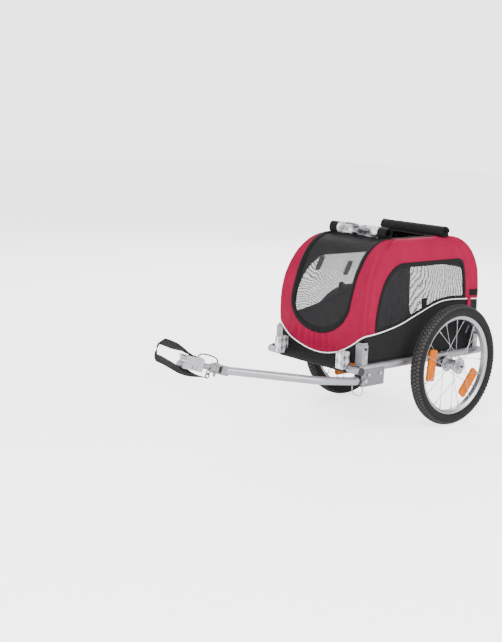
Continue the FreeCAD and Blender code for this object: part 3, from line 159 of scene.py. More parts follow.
# %% Nodes of a finish
class Paint:
    """A finish: one material with its shader, and the nodes that feed it."""

    def __init__(self, name, **fixed):
        self.material = FINISH[name] = bpy.data.materials.new(name)
        self.material.use_nodes = True
        self.tree = self.material.node_tree
        self.shader = self.tree.nodes["Principled BSDF"]
        self.use(**fixed)

    def feed(self, socket, value):
        if isinstance(value, Val):
            self.tree.links.new(value.socket, socket)
        else:
            socket.default_value = value

    def node(self, kind, settings=None, inputs=None, out=0):
        made = self.tree.nodes.new(kind)
        for key, value in (settings or {}).items():
            setattr(made, key, value)
        for key, value in (inputs or {}).items():
            self.feed(made.inputs[key], value)
        return Val(self, made.outputs[out])

    def place(self, what="Object"):
        """Three coordinates, in metres: the object's own, or those of the piece's UV map."""
        where = self.node("ShaderNodeTexCoord", out=what)
        split = self.tree.nodes.new("ShaderNodeSeparateXYZ")
        self.feed(split.inputs[0], where)
        return [Val(self, socket) for socket in split.outputs]

    def speckle(self, size, detail=3, stretch=(1, 1, 1)):
        """Noise whose grains are about that many metres across."""
        where = self.node("ShaderNodeTexCoord", out="Object")
        turned = self.node("ShaderNodeMapping", {"vector_type": "POINT"},
                           {"Vector": where, "Scale": stretch})
        return self.node("ShaderNodeTexNoise", {},
                         {"Vector": turned, "Scale": 1 / size, "Detail": detail})

    def blend(self, factor, first, second):
        return self.node("ShaderNodeMix", {"data_type": "RGBA"},
                         {0: factor, 6: first, 7: second}, out=2)

    def use(self, **sockets):
        for name, value in sockets.items():
            self.feed(self.shader.inputs[name.replace("_", " ")], value)

    def relief(self, height, depth, strength):
        self.use(Normal=self.node("ShaderNodeBump", {}, {
            "Height": height, "Distance": depth, "Strength": strength}))


def rgb(red, green, blue):
    """A colour as it looks on screen, turned to the linear values that shaders mix."""
    def linear(level):
        share = level / 255
        return share / 12.92 if share <= 0.04045 else ((share + 0.055) / 1.055) ** 2.4
    return (linear(red), linear(green), linear(blue), 1)


print("middle grey in linear light:", round(rgb(128, 128, 128)[0], 3))

# %% [markdown]
# ## Floor and light
# The floor and the light stay plain, because the trailer stands on a white ground. Four
# soft square lights stand round the cabin, and white light comes from all sides.

# %% Floor and light
FLOOR_HALF, FLOOR_DROP = 14, 0.0008
FLOOR_GLOW, FLOOR_SEEN = (0.4, 0.4, 0.4, 1), (2.1, 2.1, 2.1, 1)
LIGHT_AIM = Vector((0, 0.1, 0.35))
SKY_STRENGTH, BACKDROP_STRENGTH = 0.95, 3.2


def link_piece(name, mesh, finish=None):
    """A new object of the scene, in its finish."""
    piece = bpy.data.objects.new(name, mesh)
    bpy.context.collection.objects.link(piece)
    if finish:
        mesh.materials.append(FINISH[finish])
    return piece


def floor_plate():
    """A wide pale floor under the wheels."""
    mesh = bpy.data.meshes.new("floor")
    corners = [(x * FLOOR_HALF, y * FLOOR_HALF, 0) for x, y in ((-1, -1), (1, -1), (1, 1), (-1, 1))]
    mesh.from_pydata(corners, [], [(0, 1, 2, 3)])
    pale = Paint("pale_floor", Base_Color=rgb(244, 244, 245), Emission_Strength=1.0)
    seen = pale.node("ShaderNodeLightPath", out="Is Camera Ray")
    pale.use(Roughness=pale.speckle(0.4) * 0.1 + 0.85,
             Emission_Color=pale.blend(seen, FLOOR_GLOW, FLOOR_SEEN))
    floor = link_piece("floor", mesh, "pale_floor")
    floor.location.z = -FLOOR_DROP


def soft_light(name, place, width, power):
    """A square studio light that looks at the cabin."""
    lamp = bpy.data.objects.new(name, bpy.data.lights.new(name, "AREA"))
    lamp.data.shape = "SQUARE"
    lamp.data.size = width
    lamp.data.energy = power
    lamp.location = place
    lamp.rotation_euler = (LIGHT_AIM - lamp.location).to_track_quat("-Z", "Y").to_euler()
    bpy.context.collection.objects.link(lamp)


def studio_world():
    """White light from all round, with a brighter backdrop behind the part."""
    world = bpy.data.worlds.new("studio")
    world.use_nodes = True
    nodes, links = world.node_tree.nodes, world.node_tree.links
    either = nodes.new("ShaderNodeMixShader")
    seen = nodes.new("ShaderNodeLightPath")
    links.new(seen.outputs["Is Camera Ray"], either.inputs[0])
    sources = ((nodes["Background"], SKY_STRENGTH),
               (nodes.new("ShaderNodeBackground"), BACKDROP_STRENGTH))
    for index, (source, strength) in enumerate(sources):
        source.inputs["Color"].default_value = (1, 1, 1, 1)
        source.inputs["Strength"].default_value = strength
        links.new(source.outputs[0], either.inputs[index + 1])
    links.new(either.outputs[0], nodes["World Output"].inputs["Surface"])
    bpy.context.scene.world = world


floor_plate()
for name, place, width, power in (("key_light", (2.2, -3.2, 3.2), 2.2, 290),
                                  ("side_light", (4.0, 1.5, 2.4), 2.6, 190),
                                  ("back_light", (-2.6, 3.0, 3.0), 2.4, 150),
                                  ("left_light", (-3.4, -2.2, 2.2), 2.4, 80)):
    soft_light(name, place, width, power)
studio_world()
print("lights and floor ready")

# %% [markdown]
# ## Cloth finishes
# The cabin is sewn from coated polyester. Close up it shows a plain weave: threads that go
# over and under each other about twice in a millimetre. Two sine waves along the cloth's
# own UV map, which is laid out in metres, give that weave. Soft noise adds the uneven dye
# and the faint creases that folding leaves in such cloth, and paints shade into the creases.

# %% Cloth finishes
def woven(paint, pitch):
    """Height of a plain weave, from -1 to 1: warp and weft take turns on top."""
    across, along, _ = paint.place("UV")
    return across.ripple(pitch) * along.ripple(pitch)


def cloth(name, colour, shade, gloss, sheen, pitch):
    """Coated weave: an even colour with painted shade in its creases, and a thread pattern."""
    paint = Paint(name, Sheen_Weight=sheen, Sheen_Roughness=0.45, Specular_IOR_Level=0.14)
    dye = paint.speckle(0.07, 4)
    crease = paint.speckle(0.022, 5, stretch=(1, 1, 0.45))
    thread = woven(paint, pitch)
    # Painted shade: where the crease noise is low, in the hollows of the bump, the colour turns to
    # the shade colour.
    tone = (dye * 0.5 + crease * 0.35 + thread * 0.07).clip()
    paint.use(Base_Color=paint.blend(tone, shade, colour),
              Roughness=(crease * 0.25 + gloss).clip())
    paint.relief(thread * 0.25 + crease * 1.6, 0.0007, 0.55)


# Name, colour, painted shade in the creases, roughness, sheen and width of two threads.
CLOTHS = (
    ("red_cloth", (0.34, 0.0, 0.045, 1), (0.15, 0.0, 0.016, 1), 0.62, 0.0, 0.0011),
    ("black_cloth", (0.011, 0.011, 0.012, 1), (0.004, 0.004, 0.0045, 1), 0.65, 0.03, 0.0011),
    ("black_binding", (0.007, 0.007, 0.008, 1), (0.002, 0.002, 0.002, 1), 0.65, 0.03, 0.0016),
    ("inner_cloth", (0.018, 0.017, 0.018, 1), (0.006, 0.006, 0.007, 1), 0.75, 0.0, 0.0011),
    ("red_thread", (0.42, 0.004, 0.06, 1), (0.30, 0.0, 0.04, 1), 0.5, 0.0, 0.001),
    ("black_thread", (0.03, 0.03, 0.032, 1), (0.015, 0.015, 0.016, 1), 0.5, 0.0, 0.001),
    ("hook_tape", (0.045, 0.044, 0.046, 1), (0.02, 0.02, 0.021, 1), 0.8, 0.1, 0.0018),
)
for row in CLOTHS:
    cloth(*row)


print("woven cloths:", sorted(FINISH))

# %% Piping, net, webbing and film
def white_piping():
    """Bright woven cord cover, a little dirty."""
    paint = Paint("white_piping", Sheen_Weight=0.2)
    dust = paint.speckle(0.02, 4)
    thread = woven(paint, 0.0012)
    tone = paint.blend((dust * 0.6).clip(), rgb(250, 250, 250), rgb(216, 216, 218))
    paint.use(Base_Color=tone, Roughness=dust * 0.2 + 0.45)
    paint.relief(thread, 0.0003, 0.5)


def window_net():
    """Knitted mesh: dark threads round small holes, drawn as see-through cells."""
    paint = Paint("window_mesh", Specular_IOR_Level=0.3)
    thread = woven(paint, 0.0034).size()
    cloud = paint.speckle(0.05, 3)
    paint.use(Base_Color=paint.blend(cloud, rgb(24, 24, 26), rgb(46, 45, 48)),
              Alpha=thread.math("LESS_THAN", 0.29), Roughness=cloud * 0.2 + 0.55)


def black_webbing():
    """Heavy ribbed strap: ribs across the UV's length, and strands along it."""
    paint = Paint("black_webbing", Sheen_Weight=0.1, Sheen_Roughness=0.4, Specular_IOR_Level=0.2)
    across, along, _ = paint.place("UV")
    rib, strand = along.ripple(0.0022), across.ripple(0.0030)
    worn = paint.speckle(0.012, 4)
    tone = paint.blend((worn * 0.8 + rib * 0.12).clip(), rgb(8, 8, 9), rgb(30, 30, 32))
    paint.use(Base_Color=tone, Roughness=worn * 0.2 + 0.55)
    paint.relief(rib * 0.7 + strand * 0.4, 0.0005, 0.8)


def clear_film():
    """Soft clear vinyl: mostly see-through, with painted highlights and painted shade along its
    folds, and a sharp gloss.
    """
    paint = Paint("clear_film", IOR=1.38, Specular_IOR_Level=0.6)
    crumple = paint.speckle(0.015, 4, stretch=(0.35, 1, 1))
    fold = ((crumple - 0.5) * 4.5 + 0.5).clip()
    haze = paint.speckle(0.006, 3)
    # Painted highlight and shade: the folds run from dark grey to near white, and the white parts
    # are the least see-through.
    paint.use(Base_Color=paint.blend(fold, rgb(40, 40, 46), rgb(236, 236, 240)),
              Alpha=(fold * 0.55 + haze * 0.3 + 0.25).clip(), Roughness=haze * 0.12 + 0.04)
    paint.relief(fold + haze * 0.4, 0.006, 0.9)


for make in (white_piping, window_net, black_webbing, clear_film):
    make()
FINISH["mesh"], FINISH["webbing"] = FINISH["window_mesh"], FINISH["black_webbing"]
print("cloth finishes:", len(FINISH))

# %% [markdown]
# ## Metal, rubber and plastic finishes
# The frame is natural anodised tube: silver, satin, with fine draw lines along it and a
# few dull patches. Pressed brackets are brighter and a little rougher. Rubber is dusty,
# plastic is finely moulded, and the reflectors have tiny prisms behind a clear face.

# %% Recipes for hard finishes
def drawn_metal(name, light, dark, gloss, stretch, scratch):
    """Satin metal with lines along one axis and cloudy wear."""
    paint = Paint(name, Metallic=0.92)
    lines = paint.speckle(0.0016, 4, stretch=stretch)
    cloud = paint.speckle(0.06, 4)
    paint.use(Base_Color=paint.blend((lines * 0.45 + cloud * 0.45).clip(), dark, light),
              Roughness=(lines * 0.18 + cloud * 0.14 + gloss).clip())
    paint.relief(lines, scratch, 0.5)


def moulded_plastic(name, colour, worn, gloss, sparkle):
    """Moulded plastic: spark-eroded grain, and paler where hands rub it."""
    paint = Paint(name)
    grain = paint.speckle(sparkle, 2)
    rub = paint.speckle(0.02, 5)
    paint.use(Base_Color=paint.blend((rub * rub * 0.9).clip(), colour, worn),
              Roughness=(rub * 0.25 + gloss).clip())
    paint.relief(grain, 0.00025, 0.5)


def prism_lens(name, colour, deep, facet, coat):
    """Reflector face: a grid of small pyramids under a smooth clear coat."""
    paint = Paint(name, Coat_Weight=coat, Coat_Roughness=0.08, IOR=1.45, Specular_IOR_Level=coat)
    x, y, z = paint.place()
    prism = (y + z).ripple(facet).size() * (y - z + x).ripple(facet).size()
    paint.use(Base_Color=paint.blend((prism * 1.3).clip(), deep, colour),
              Roughness=prism * 0.2 + 0.25)
    paint.relief(prism, 0.0012, 0.9)


def cube_corners(name, light, dark, facet):
    """Clear reflector: tall facets, each turned its own way, with painted flashes of light on some
    and painted shade on others.
    """
    paint = Paint(name, Coat_Weight=0.6, Coat_Roughness=0.05, IOR=1.49)
    x, y, z = paint.place()
    ribs = (x + y * 0.7).ripple(facet)
    steps = (z + x * 0.3).ripple(facet * 1.7)
    fine = (x - y + z).ripple(facet * 0.31).size()
    # Painted highlight and shade: the facet pattern mixes in the light colour as flashes and the
    # dark one as shade.
    painted_flash = (ribs * 0.34 + steps * 0.26 + fine * 0.3 + 0.35).clip()
    paint.use(Base_Color=paint.blend(painted_flash, dark, light), Roughness=fine * 0.25 + 0.12)
    paint.relief(ribs + fine, 0.0008, 0.8)


def tyre_rubber():
    """Black rubber with dust in the tread and a satin side wall."""
    paint = Paint("tyre_rubber", Specular_IOR_Level=0.2)
    dust = paint.speckle(0.012, 5)
    grain = paint.speckle(0.0012, 3)
    paint.use(Base_Color=paint.blend((dust * 0.8).clip(), rgb(9, 9, 10), rgb(26, 25, 25)),
              Roughness=(dust * 0.25 + 0.55).clip())
    paint.relief(grain * 0.5 + dust, 0.0006, 0.6)


print("recipes: metal, plastic, lenses and rubber")

# %% Metals, plastics and lenses
# Name, light grey, dark grey, roughness, stretch of the lines and depth of the scratches.
METALS = (
    ("frame_tube", (186, 186, 190), (138, 138, 143), 0.26, (0.6, 0.03, 0.6), 0.0001),
    ("bracket_steel", (176, 176, 180), (112, 112, 117), 0.24, (0.4, 0.4, 0.06), 0.0001),
    ("bright_steel", (196, 196, 200), (140, 140, 146), 0.16, (1, 1, 1), 0.00005),
    ("cast_alloy", (176, 175, 178), (108, 107, 111), 0.32, (0.5, 0.5, 0.5), 0.0002),
    ("dark_steel", (96, 96, 100), (52, 52, 56), 0.34, (0.4, 0.4, 0.2), 0.0001),
    ("rim_alloy", (196, 196, 200), (140, 140, 146), 0.22, (1, 0.12, 0.12), 0.0001),
    ("receiver_alloy", (150, 150, 154), (84, 84, 88), 0.32, (0.3, 0.3, 0.3), 0.0002),
)
for name, light, dark, *rest in METALS:
    drawn_metal(name, rgb(*light), rgb(*dark), *rest)
# Name, colour, worn colour, roughness and size of the grain.
PLASTICS = (
    ("black_plastic", (14, 14, 15), (36, 36, 38), 0.4, 0.0004),
    ("rubber_seal", (22, 22, 23), (48, 48, 49), 0.6, 0.0008),
    ("floor_board", (38, 38, 40), (66, 66, 68), 0.55, 0.0016),
    ("tread_rubber", (20, 20, 21), (70, 69, 68), 0.6, 0.0012),
)
for name, colour, worn, *rest in PLASTICS:
    moulded_plastic(name, rgb(*colour), rgb(*worn), *rest)
tyre_rubber()
prism_lens("orange_lens", (0.84, 0.20, 0.0, 1), (0.56, 0.11, 0.0, 1), 0.0042, 0.08)
prism_lens("red_lens", rgb(214, 30, 30), rgb(140, 8, 10), 0.0032, 0.25)
# Both clear finishes paint flashes of light and shade into their facets.
cube_corners("front_lens", rgb(250, 250, 252), rgb(120, 120, 126), 0.0190)
cube_corners("lens_case", rgb(214, 214, 220), rgb(62, 62, 68), 0.0150)
print("cloth and hard finishes:", len(FINISH))

# %% Finish of each node
# The hoops run in sleeves of black cloth; housings are clear moulded, hubs are bright.
FINISH_OF_NODE = {
    "front_hoop_tube": "black_cloth", "rear_hoop_tube": "black_cloth",
    "front_reflector_housings": "lens_case", "front_reflector_lenses": "front_lens",
    "left_hub": "rim_alloy", "right_hub": "rim_alloy", "coupling_block": "rim_alloy",
    "tow_receiver": "receiver_alloy", "axle_brackets": "dark_steel", "snap_hook": "black_plastic",
}
SLOT_OF = {row["node"]: row["material_slot"] for row in frame["record"]["subparts"]}
for node_name, node in NODES.items():
    node.data.materials.clear()
    node.data.materials.append(FINISH[FINISH_OF_NODE.get(node_name, SLOT_OF[node_name])])
print("finishes:", sorted(FINISH))

# %% [markdown]
# ## The shape of the cabin
# Two bent hoops carry the cover. Seen from the side, the cloth stands straight up at the
# front, bends over in a quarter of an ellipse to the flat roof, and comes down at the rear
# in a smaller one. Seen from the front, the shoulders are quarter ellipses too. So every
# level cut through the cabin is a rectangle, and here its corners are rounded. A ring of
# points for each height, stacked from the floor to the roof, makes the whole skin as one
# continuous sheet, and the rows of points can follow the seam between red and black.

# %% Cabin shape
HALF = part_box("cover_front")[1].x
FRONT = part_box("cover_front")[0].y
REAR = FRONT + 0.576
BASE = 0.2375
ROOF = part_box("cover_roof")[1].z
FRONT_BEND = (0.158, 0.229)
REAR_BEND = (0.102, 0.127)
SHOULDER = (0.060, 0.229)
REAR_LEAN = 0.018
CORNER = 0.012


def rise_over(z, height):
    """How far up a quarter ellipse of that height z is, from 0 to 1."""
    return min(max((z - ROOF + height) / height, 0), 1)


def ellipse_share(z, height):
    return 1 - math.sqrt(max(1 - rise_over(z, height) ** 2, 0))


def front_at(z):
    return FRONT + FRONT_BEND[0] * ellipse_share(z, FRONT_BEND[1])


def rear_at(z):
    straight = ROOF - REAR_BEND[1]
    lean = REAR_LEAN * min((z - BASE) / (straight - BASE), 1)
    return REAR - lean - REAR_BEND[0] * ellipse_share(z, REAR_BEND[1])


def half_at(z):
    return HALF - SHOULDER[0] * ellipse_share(z, SHOULDER[1])


def corner_at(z):
    """Corner radius of a level cut: it fades out where the shoulders meet the roof."""
    return CORNER * (1 - rise_over(z, SHOULDER[1]) ** 2)


print("cabin:", round(2 * HALF / MM), "mm wide")

# %% Seam line
# The seam between red and black: a dip across the front, a rising wave along the sides.
PIPING_FRONT = 0.320
PIPING_RISE = 0.078
PIPING_WAVE = ((0, 0), (0.14, 0.09), (0.3, 0.31), (0.45, 0.66), (0.61, 1.02), (0.73, 1.1), (1, 1))


def through_points(table, share):
    """Smooth value at a share of the way, through the points of a table."""
    last = len(table) - 1
    index = next((i for i in range(last) if share <= table[i + 1][0]), last - 1)
    (left, low), (right, high) = table[index], table[index + 1]
    before, after = table[max(index - 1, 0)], table[min(index + 2, last)]
    span = right - left
    t = (share - left) / span
    start = span * (high - before[1]) / (right - before[0])
    end = span * (after[1] - low) / (after[0] - left)
    cube, square = t ** 3, t ** 2
    return ((2 * cube - 3 * square + 1) * low + (cube - 2 * square + t) * start
            + (3 * square - 2 * cube) * high + (cube - square) * end)


def seam_height(x, y):
    """Height of the piping at a place round the cabin."""
    if y < FRONT + CORNER * 0.5:
        radius = (HALF ** 2 + PIPING_RISE ** 2) / (2 * PIPING_RISE)
        bow = radius - math.sqrt(radius ** 2 - min(abs(x), HALF) ** 2)
        return PIPING_FRONT - PIPING_RISE + bow
    share = min(max((y - FRONT) / (REAR - FRONT), 0), 1)
    return PIPING_FRONT + PIPING_RISE * through_points(PIPING_WAVE, share)


print("seam in front:", round(seam_height(0, FRONT) / MM, 1), "mm up")

# %% Rings of the skin
# Columns of the skin, as places round a level cut: front, left, rear and right.
FRONT_COLUMNS, SIDE_COLUMNS, TURN_COLUMNS = 84, 128, 5
LOW_ROWS, HIGH_ROWS = 14, 62
CORNERS = {"front_corner": (1, -1), "left_corner": (1, 1),
           "rear_corner": (-1, 1), "right_corner": (-1, -1)}


def shares(count):
    """Even shares from 0 to 1, in that many steps."""
    return [i / count for i in range(count + 1)]


def ring_places():
    """(part, share) once round the cabin, from the front right corner and back to it."""
    places = []
    for part, count in (("front", FRONT_COLUMNS), ("left", SIDE_COLUMNS),
                        ("rear", FRONT_COLUMNS), ("right", SIDE_COLUMNS)):
        places += [(part, share) for share in shares(count)]
        places += [(part + "_corner", share) for share in shares(TURN_COLUMNS)[1:-1]]
    return places + places[:1]


def ring_point(place, z):
    """Point of the skin at a place of the ring and a height, and its level normal."""
    part, share = place
    half, front, rear, turn = half_at(z), front_at(z), rear_at(z), corner_at(z)
    across = (half - turn) * (2 * share - 1)
    along = front + turn + (rear - front - 2 * turn) * share
    if part == "front":
        return Vector((across, front, z)), Vector((0, -1, 0))
    if part == "left":
        return Vector((half, along, z)), Vector((1, 0, 0))
    if part == "rear":
        return Vector((-across, rear, z)), Vector((0, 1, 0))
    if part == "right":
        return Vector((-half, front + rear - along, z)), Vector((-1, 0, 0))
    side, end = CORNERS[part]
    angle = share * math.pi / 2
    out, ahead = math.sin(angle), math.cos(angle)
    if side * end > 0:
        out, ahead = ahead, out
    facing = Vector((side * out, end * ahead, 0))
    middle = Vector((side * (half - turn), front + turn if end < 0 else rear - turn, z))
    return middle + turn * facing, facing


RING = ring_places()


def seam_of(place):
    """Height of the seam at a place of the ring; the front's dip goes on round its corners."""
    point, _ = ring_point(place, PIPING_FRONT)
    ahead = place[0] in ("front_corner", "right_corner")
    return seam_height(point.x, FRONT if ahead else point.y)


def row_height(seam, row):
    """Rows share out the black part evenly, and the red part by angle over the bend."""
    if row <= LOW_ROWS:
        return BASE + (seam - BASE) * row / LOW_ROWS
    share = (row - LOW_ROWS) / HIGH_ROWS
    return seam + (ROOF - seam) * math.sin(share * math.pi / 2)


print("cabin ring:", len(RING) - 1, "columns,", LOW_ROWS + HIGH_ROWS + 1, "rows")

# %% [markdown]
# ## One skin, cut into its panels
# A sewn cover isn't flat: the cloth sags a little between the hoops, and below the front
# window it is gathered into small upright folds. A height for each point, out along the
# skin's own normal, gives both. The windows, the hatch and the black part are then cut out
# of the same sheet, so neighbours meet without a gap, and each panel gets its thickness
# with the dark coating on its inner face.

# %% Relief and windows
FRONT_WINDOW = {"half": 0.123, "bowl": 0.410, "depth": 0.094, "reach": 0.156}
SIDE_WINDOW = {"front": FRONT + 0.063, "rear": FRONT + 0.492, "lean": 0.008, "top": 0.533,
               "shoulder": (0.135, 0.172), "turn": 0.018}
REAR_WINDOW = {"half": 0.126, "low": 0.282, "high": 0.500, "corner": 0.034}
HATCH = {"half": 0.105, "front": FRONT + 0.194, "rear": FRONT + 0.400}
NOTCH = {"inner": 0.1607, "front": FRONT + 0.0262, "rear": FRONT + 0.5353, "top": 0.306}
GATHER, GATHER_PITCH, GATHER_MIDDLE = 0.0056, 0.029, -0.015
BULGE, HOLLOW, SAG = 0.012, 0.005, 0.003


def ease(low, high, value):
    """0 below low, 1 above high, smooth between; low may be the larger one."""
    t = min(max((value - low) / (high - low), 0), 1)
    return t * t * (3 - 2 * t)


def bell(value, width):
    return math.exp(-(value / width) ** 2)


def cloth_relief(p):
    """How far the cloth stands out from the cabin's plain shape at a point."""
    height = 0.0012 * noise.noise(p * 13) + 0.0006 * noise.noise(p * 38)
    # Gathers between the front window and the piping.
    if p.y < FRONT + 0.03:
        gather = ease(0.318, 0.300, p.z) * ease(0.150, 0.05, abs(p.x - GATHER_MIDDLE))
        gather *= ease(0.002, 0.022, p.z - seam_height(p.x, FRONT))
        wander = 2.2 * noise.noise(p * 11)
        height += GATHER * gather * math.sin(TURN * p.x / GATHER_PITCH + wander)
    # The front bulges below the window's middle and is hollow above it.
    if p.y < FRONT + 0.09:
        middle = ease(0.186, 0.10, abs(p.x))
        height += BULGE * middle * ease(0.242, 0.295, p.z) * ease(0.42, 0.33, p.z)
        height -= HOLLOW * middle * ease(0.40, 0.47, p.z) * ease(0.585, 0.52, p.z)
    # Red cloth falls into a valley beside each hoop and rises a little over the tube.
    if abs(p.x) > 0.12:
        level = min(p.z, ROOF)
        sway = 0.006 * noise.noise(Vector((0, 3, p.z * 9)))
        red = ease(-0.006, 0.03, p.z - seam_height(p.x, max(p.y, FRONT + CORNER)))
        for gap, wide, deep in ((p.y - front_at(level), 0.034, 0.0052),
                                (rear_at(level) - p.y, 0.040, 0.0036)):
            height -= deep * red * bell(gap - wide - sway, 0.010)
            height += 0.4 * deep * red * bell(gap - 0.6 * wide + 0.018 - sway, 0.012)
    sag = ease(FRONT, FRONT + 0.25, p.y) * ease(REAR, REAR - 0.2, p.y)
    return height - SAG * sag * ease(0.24, 0.4, p.z) * ease(0.607, 0.5, p.z)


bulged = Vector((0, FRONT, FRONT_WINDOW["bowl"] - FRONT_WINDOW["depth"]))
print("cloth below the front window stands out", round(cloth_relief(bulged) / MM, 1), "mm")

# %% Window outlines
def in_front_window(p):
    half, depth = FRONT_WINDOW["half"], FRONT_WINDOW["depth"]
    if p.y > FRONT + FRONT_WINDOW["reach"] or abs(p.x) > half:
        return False
    below = max(FRONT_WINDOW["bowl"] - p.z, 0)
    return (p.x / half) ** 2 * (below > 0) + (below / depth) ** 2 < 1


def in_side_window(p):
    (long, tall), top = SIDE_WINDOW["shoulder"], SIDE_WINDOW["top"]
    rear = SIDE_WINDOW["rear"] - SIDE_WINDOW["lean"] * (p.z - BASE) / (top - BASE)
    if not SIDE_WINDOW["front"] < p.y < rear or p.z > top:
        return False
    before = max(SIDE_WINDOW["front"] + long - p.y, 0)
    above = max(p.z - top + tall, 0)
    return (before / long) ** 2 + (above / tall) ** 2 < 1


def in_rear_window(p):
    low, high, corner = REAR_WINDOW["low"], REAR_WINDOW["high"], REAR_WINDOW["corner"]
    dx = max(abs(p.x) - REAR_WINDOW["half"] + corner, 0)
    dz = max(low + corner - p.z, p.z - high + corner, 0)
    return math.hypot(dx, dz) < corner


def in_corner_notch(p):
    """Room that the cover leaves for the four hinges at the feet of the hoops."""
    at_end = p.y < NOTCH["front"] or p.y > NOTCH["rear"]
    return abs(p.x) > NOTCH["inner"] and at_end and p.z < NOTCH["top"]


def panel_of(p, black):
    """Which panel a face of the skin belongs to."""
    over_hatch = abs(p.x) < HATCH["half"] and HATCH["front"] < p.y < HATCH["rear"]
    if p.z > ROOF - 0.004 and over_hatch:
        return None
    if p.y > REAR - 0.075 and abs(p.x) < HALF - 0.02 and in_rear_window(p):
        return "window_mesh"
    if black:
        return None if in_corner_notch(p) else "lower_walls_cloth"
    if in_front_window(p) or (abs(p.x) > HATCH["half"] and in_side_window(p)):
        return "window_mesh"
    return "cabin_cover"


roof_middle = Vector((0, (HATCH["front"] + HATCH["rear"]) / 2, ROOF))
print("panel in the middle of the roof:", panel_of(roof_middle, False))

# %% Skin
CLOTH, NET = 0.0012, 0.0003
MAP_HEIGHT = 0.4


def lengths_along(points):
    """How far along a line each of its points is."""
    lengths = [0.0]
    for first, second in zip(points, points[1:]):
        lengths.append(lengths[-1] + (second - first).length)
    return lengths


def new_sheet():
    """An empty bmesh whose faces can carry a map of the weave."""
    made = bmesh.new()
    made.loops.layers.uv.new("weave")
    return made


def grid_faces(made, spots, coords):
    """Quads between the rows of a grid of vertices, each corner with its place on the map."""
    weave = made.loops.layers.uv["weave"]
    faces = []
    for i in range(len(spots) - 1):
        for j in range(len(spots[0]) - 1):
            at = ((i, j), (i, j + 1), (i + 1, j + 1), (i + 1, j))
            face = made.faces.new([spots[a][b] for a, b in at])
            face.smooth = True
            for loop, (a, b) in zip(face.loops, at):
                loop[weave].uv = coords[a][b]
            faces.append(face)
    return faces


def skin_sheet():
    """The whole skin, with its weave map, as a bmesh whose faces know if they are black."""
    sheet = new_sheet()
    mark = sheet.faces.layers.int.new("black")
    columns, maps = [], []
    around = lengths_along([ring_point(place, MAP_HEIGHT)[0] for place in RING])
    for place, across in zip(RING, around):
        heights = [row_height(seam_of(place), row) for row in range(LOW_ROWS + HIGH_ROWS + 1)]
        points = [ring_point(place, z)[0] for z in heights]
        columns.append([sheet.verts.new(p) for p in points])
        maps.append([(across, up) for up in lengths_along(points)])
    for index, face in enumerate(grid_faces(sheet, list(zip(*columns)), list(zip(*maps)))):
        face[mark] = int(index // (len(RING) - 1) < LOW_ROWS)
    half, front, rear = half_at(ROOF), front_at(ROOF), rear_at(ROOF)
    roof = [[sheet.verts.new((half * (2 * a - 1), front + (rear - front) * b, ROOF))
             for a in shares(FRONT_COLUMNS)] for b in shares(SIDE_COLUMNS)]
    grid_faces(sheet, roof, [[vert.co.xy for vert in row] for row in roof])
    bmesh.ops.remove_doubles(sheet, verts=sheet.verts, dist=1e-5)
    empty = [f for f in sheet.faces if f.calc_area() < 1e-10]
    bmesh.ops.delete(sheet, geom=empty, context="FACES_ONLY")
    sheet.normal_update()
    for vert in sheet.verts:
        vert.co += vert.normal * cloth_relief(vert.co)
    return sheet


SKIN = skin_sheet()
print("skin:", len(SKIN.verts), "points,", len(SKIN.faces), "faces")

# %% Panels
FOLD_KEEP = 0.42
COVER_NODES = ("cover_front", "cover_left", "cover_right", "cover_roof", "cover_rear")


def mesh_from(name, made):
    """A plain mesh from a bmesh, which is then no longer needed."""
    mesh = bpy.data.meshes.new(name)
    made.to_mesh(mesh)
    made.free()
    return mesh


def evaluated_mesh(thing):
    """The mesh that an object's modifiers or curve make."""
    graph = bpy.context.evaluated_depsgraph_get()
    graph.update()
    return bpy.data.meshes.new_from_object(thing.evaluated_get(graph))


def keep_modified(piece):
    """Put what the modifiers make of a piece in the place of its mesh."""
    mesh = evaluated_mesh(piece)
    piece.modifiers.clear()
    old, piece.data = piece.data, mesh
    bpy.data.meshes.remove(old)
    return piece


def with_modifier(piece, kind, **settings):
    """Add one modifier and apply it to the mesh."""
    modifier = piece.modifiers.new(kind.lower(), kind)
    for key, value in settings.items():
        setattr(modifier, key, value)
    return keep_modified(piece)


def settle(piece, body, slot_name, *nodes, keep=None):
    """The last step for every piece: its body, and the nodes it stands for, which are hidden; keep
    gives it its own mesh, and slot_name is not used.
    """
    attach(piece, body)
    if nodes:
        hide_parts(*nodes)
    if keep:
        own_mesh(piece)
    return piece


def cut_panel(name, finish, inner, thick, slot_name, *nodes):
    """Copy the faces of one panel out of the skin, and give them their thickness."""
    panel = SKIN.copy()
    mark = panel.faces.layers.int["black"]
    others = [f for f in panel.faces if panel_of(f.calc_center_median(), f[mark]) != name]
    bmesh.ops.delete(panel, geom=others, context="FACES")
    area = sum(f.calc_area() for f in panel.faces)
    piece = link_piece(name, mesh_from(name, panel), finish)
    piece.data.materials.append(FINISH[inner])
    with_modifier(piece, "SOLIDIFY", thickness=thick, offset=-1, material_offset=1, use_rim=True)
    print(name, "faces", len(piece.data.polygons), "area", round(area, 4), "m2")
    return settle(piece, "frame", slot_name, *nodes, keep=FOLD_KEEP), area


cover, cover_area = cut_panel("cabin_cover", "red_cloth", "inner_cloth", CLOTH,
                              "red_cloth", *COVER_NODES)
walls, walls_area = cut_panel("lower_walls_cloth", "black_cloth", "inner_cloth", CLOTH,
                              "black_cloth", "lower_walls")
windows, windows_area = cut_panel("window_mesh", "mesh", "mesh", NET, "mesh", "mesh_windows")
SKIN.free()

# %% [markdown]
# ## Bindings, hems and piping
# A cut edge of cloth frays, so each window is bound with a folded black tape, and a white
# cord sewn into the seam marks the line between red and black. A tape is a flat ribbon
# that lies on the skin: at every point of its path it needs the path's direction and the
# skin's normal, and their cross product is the way across the tape.

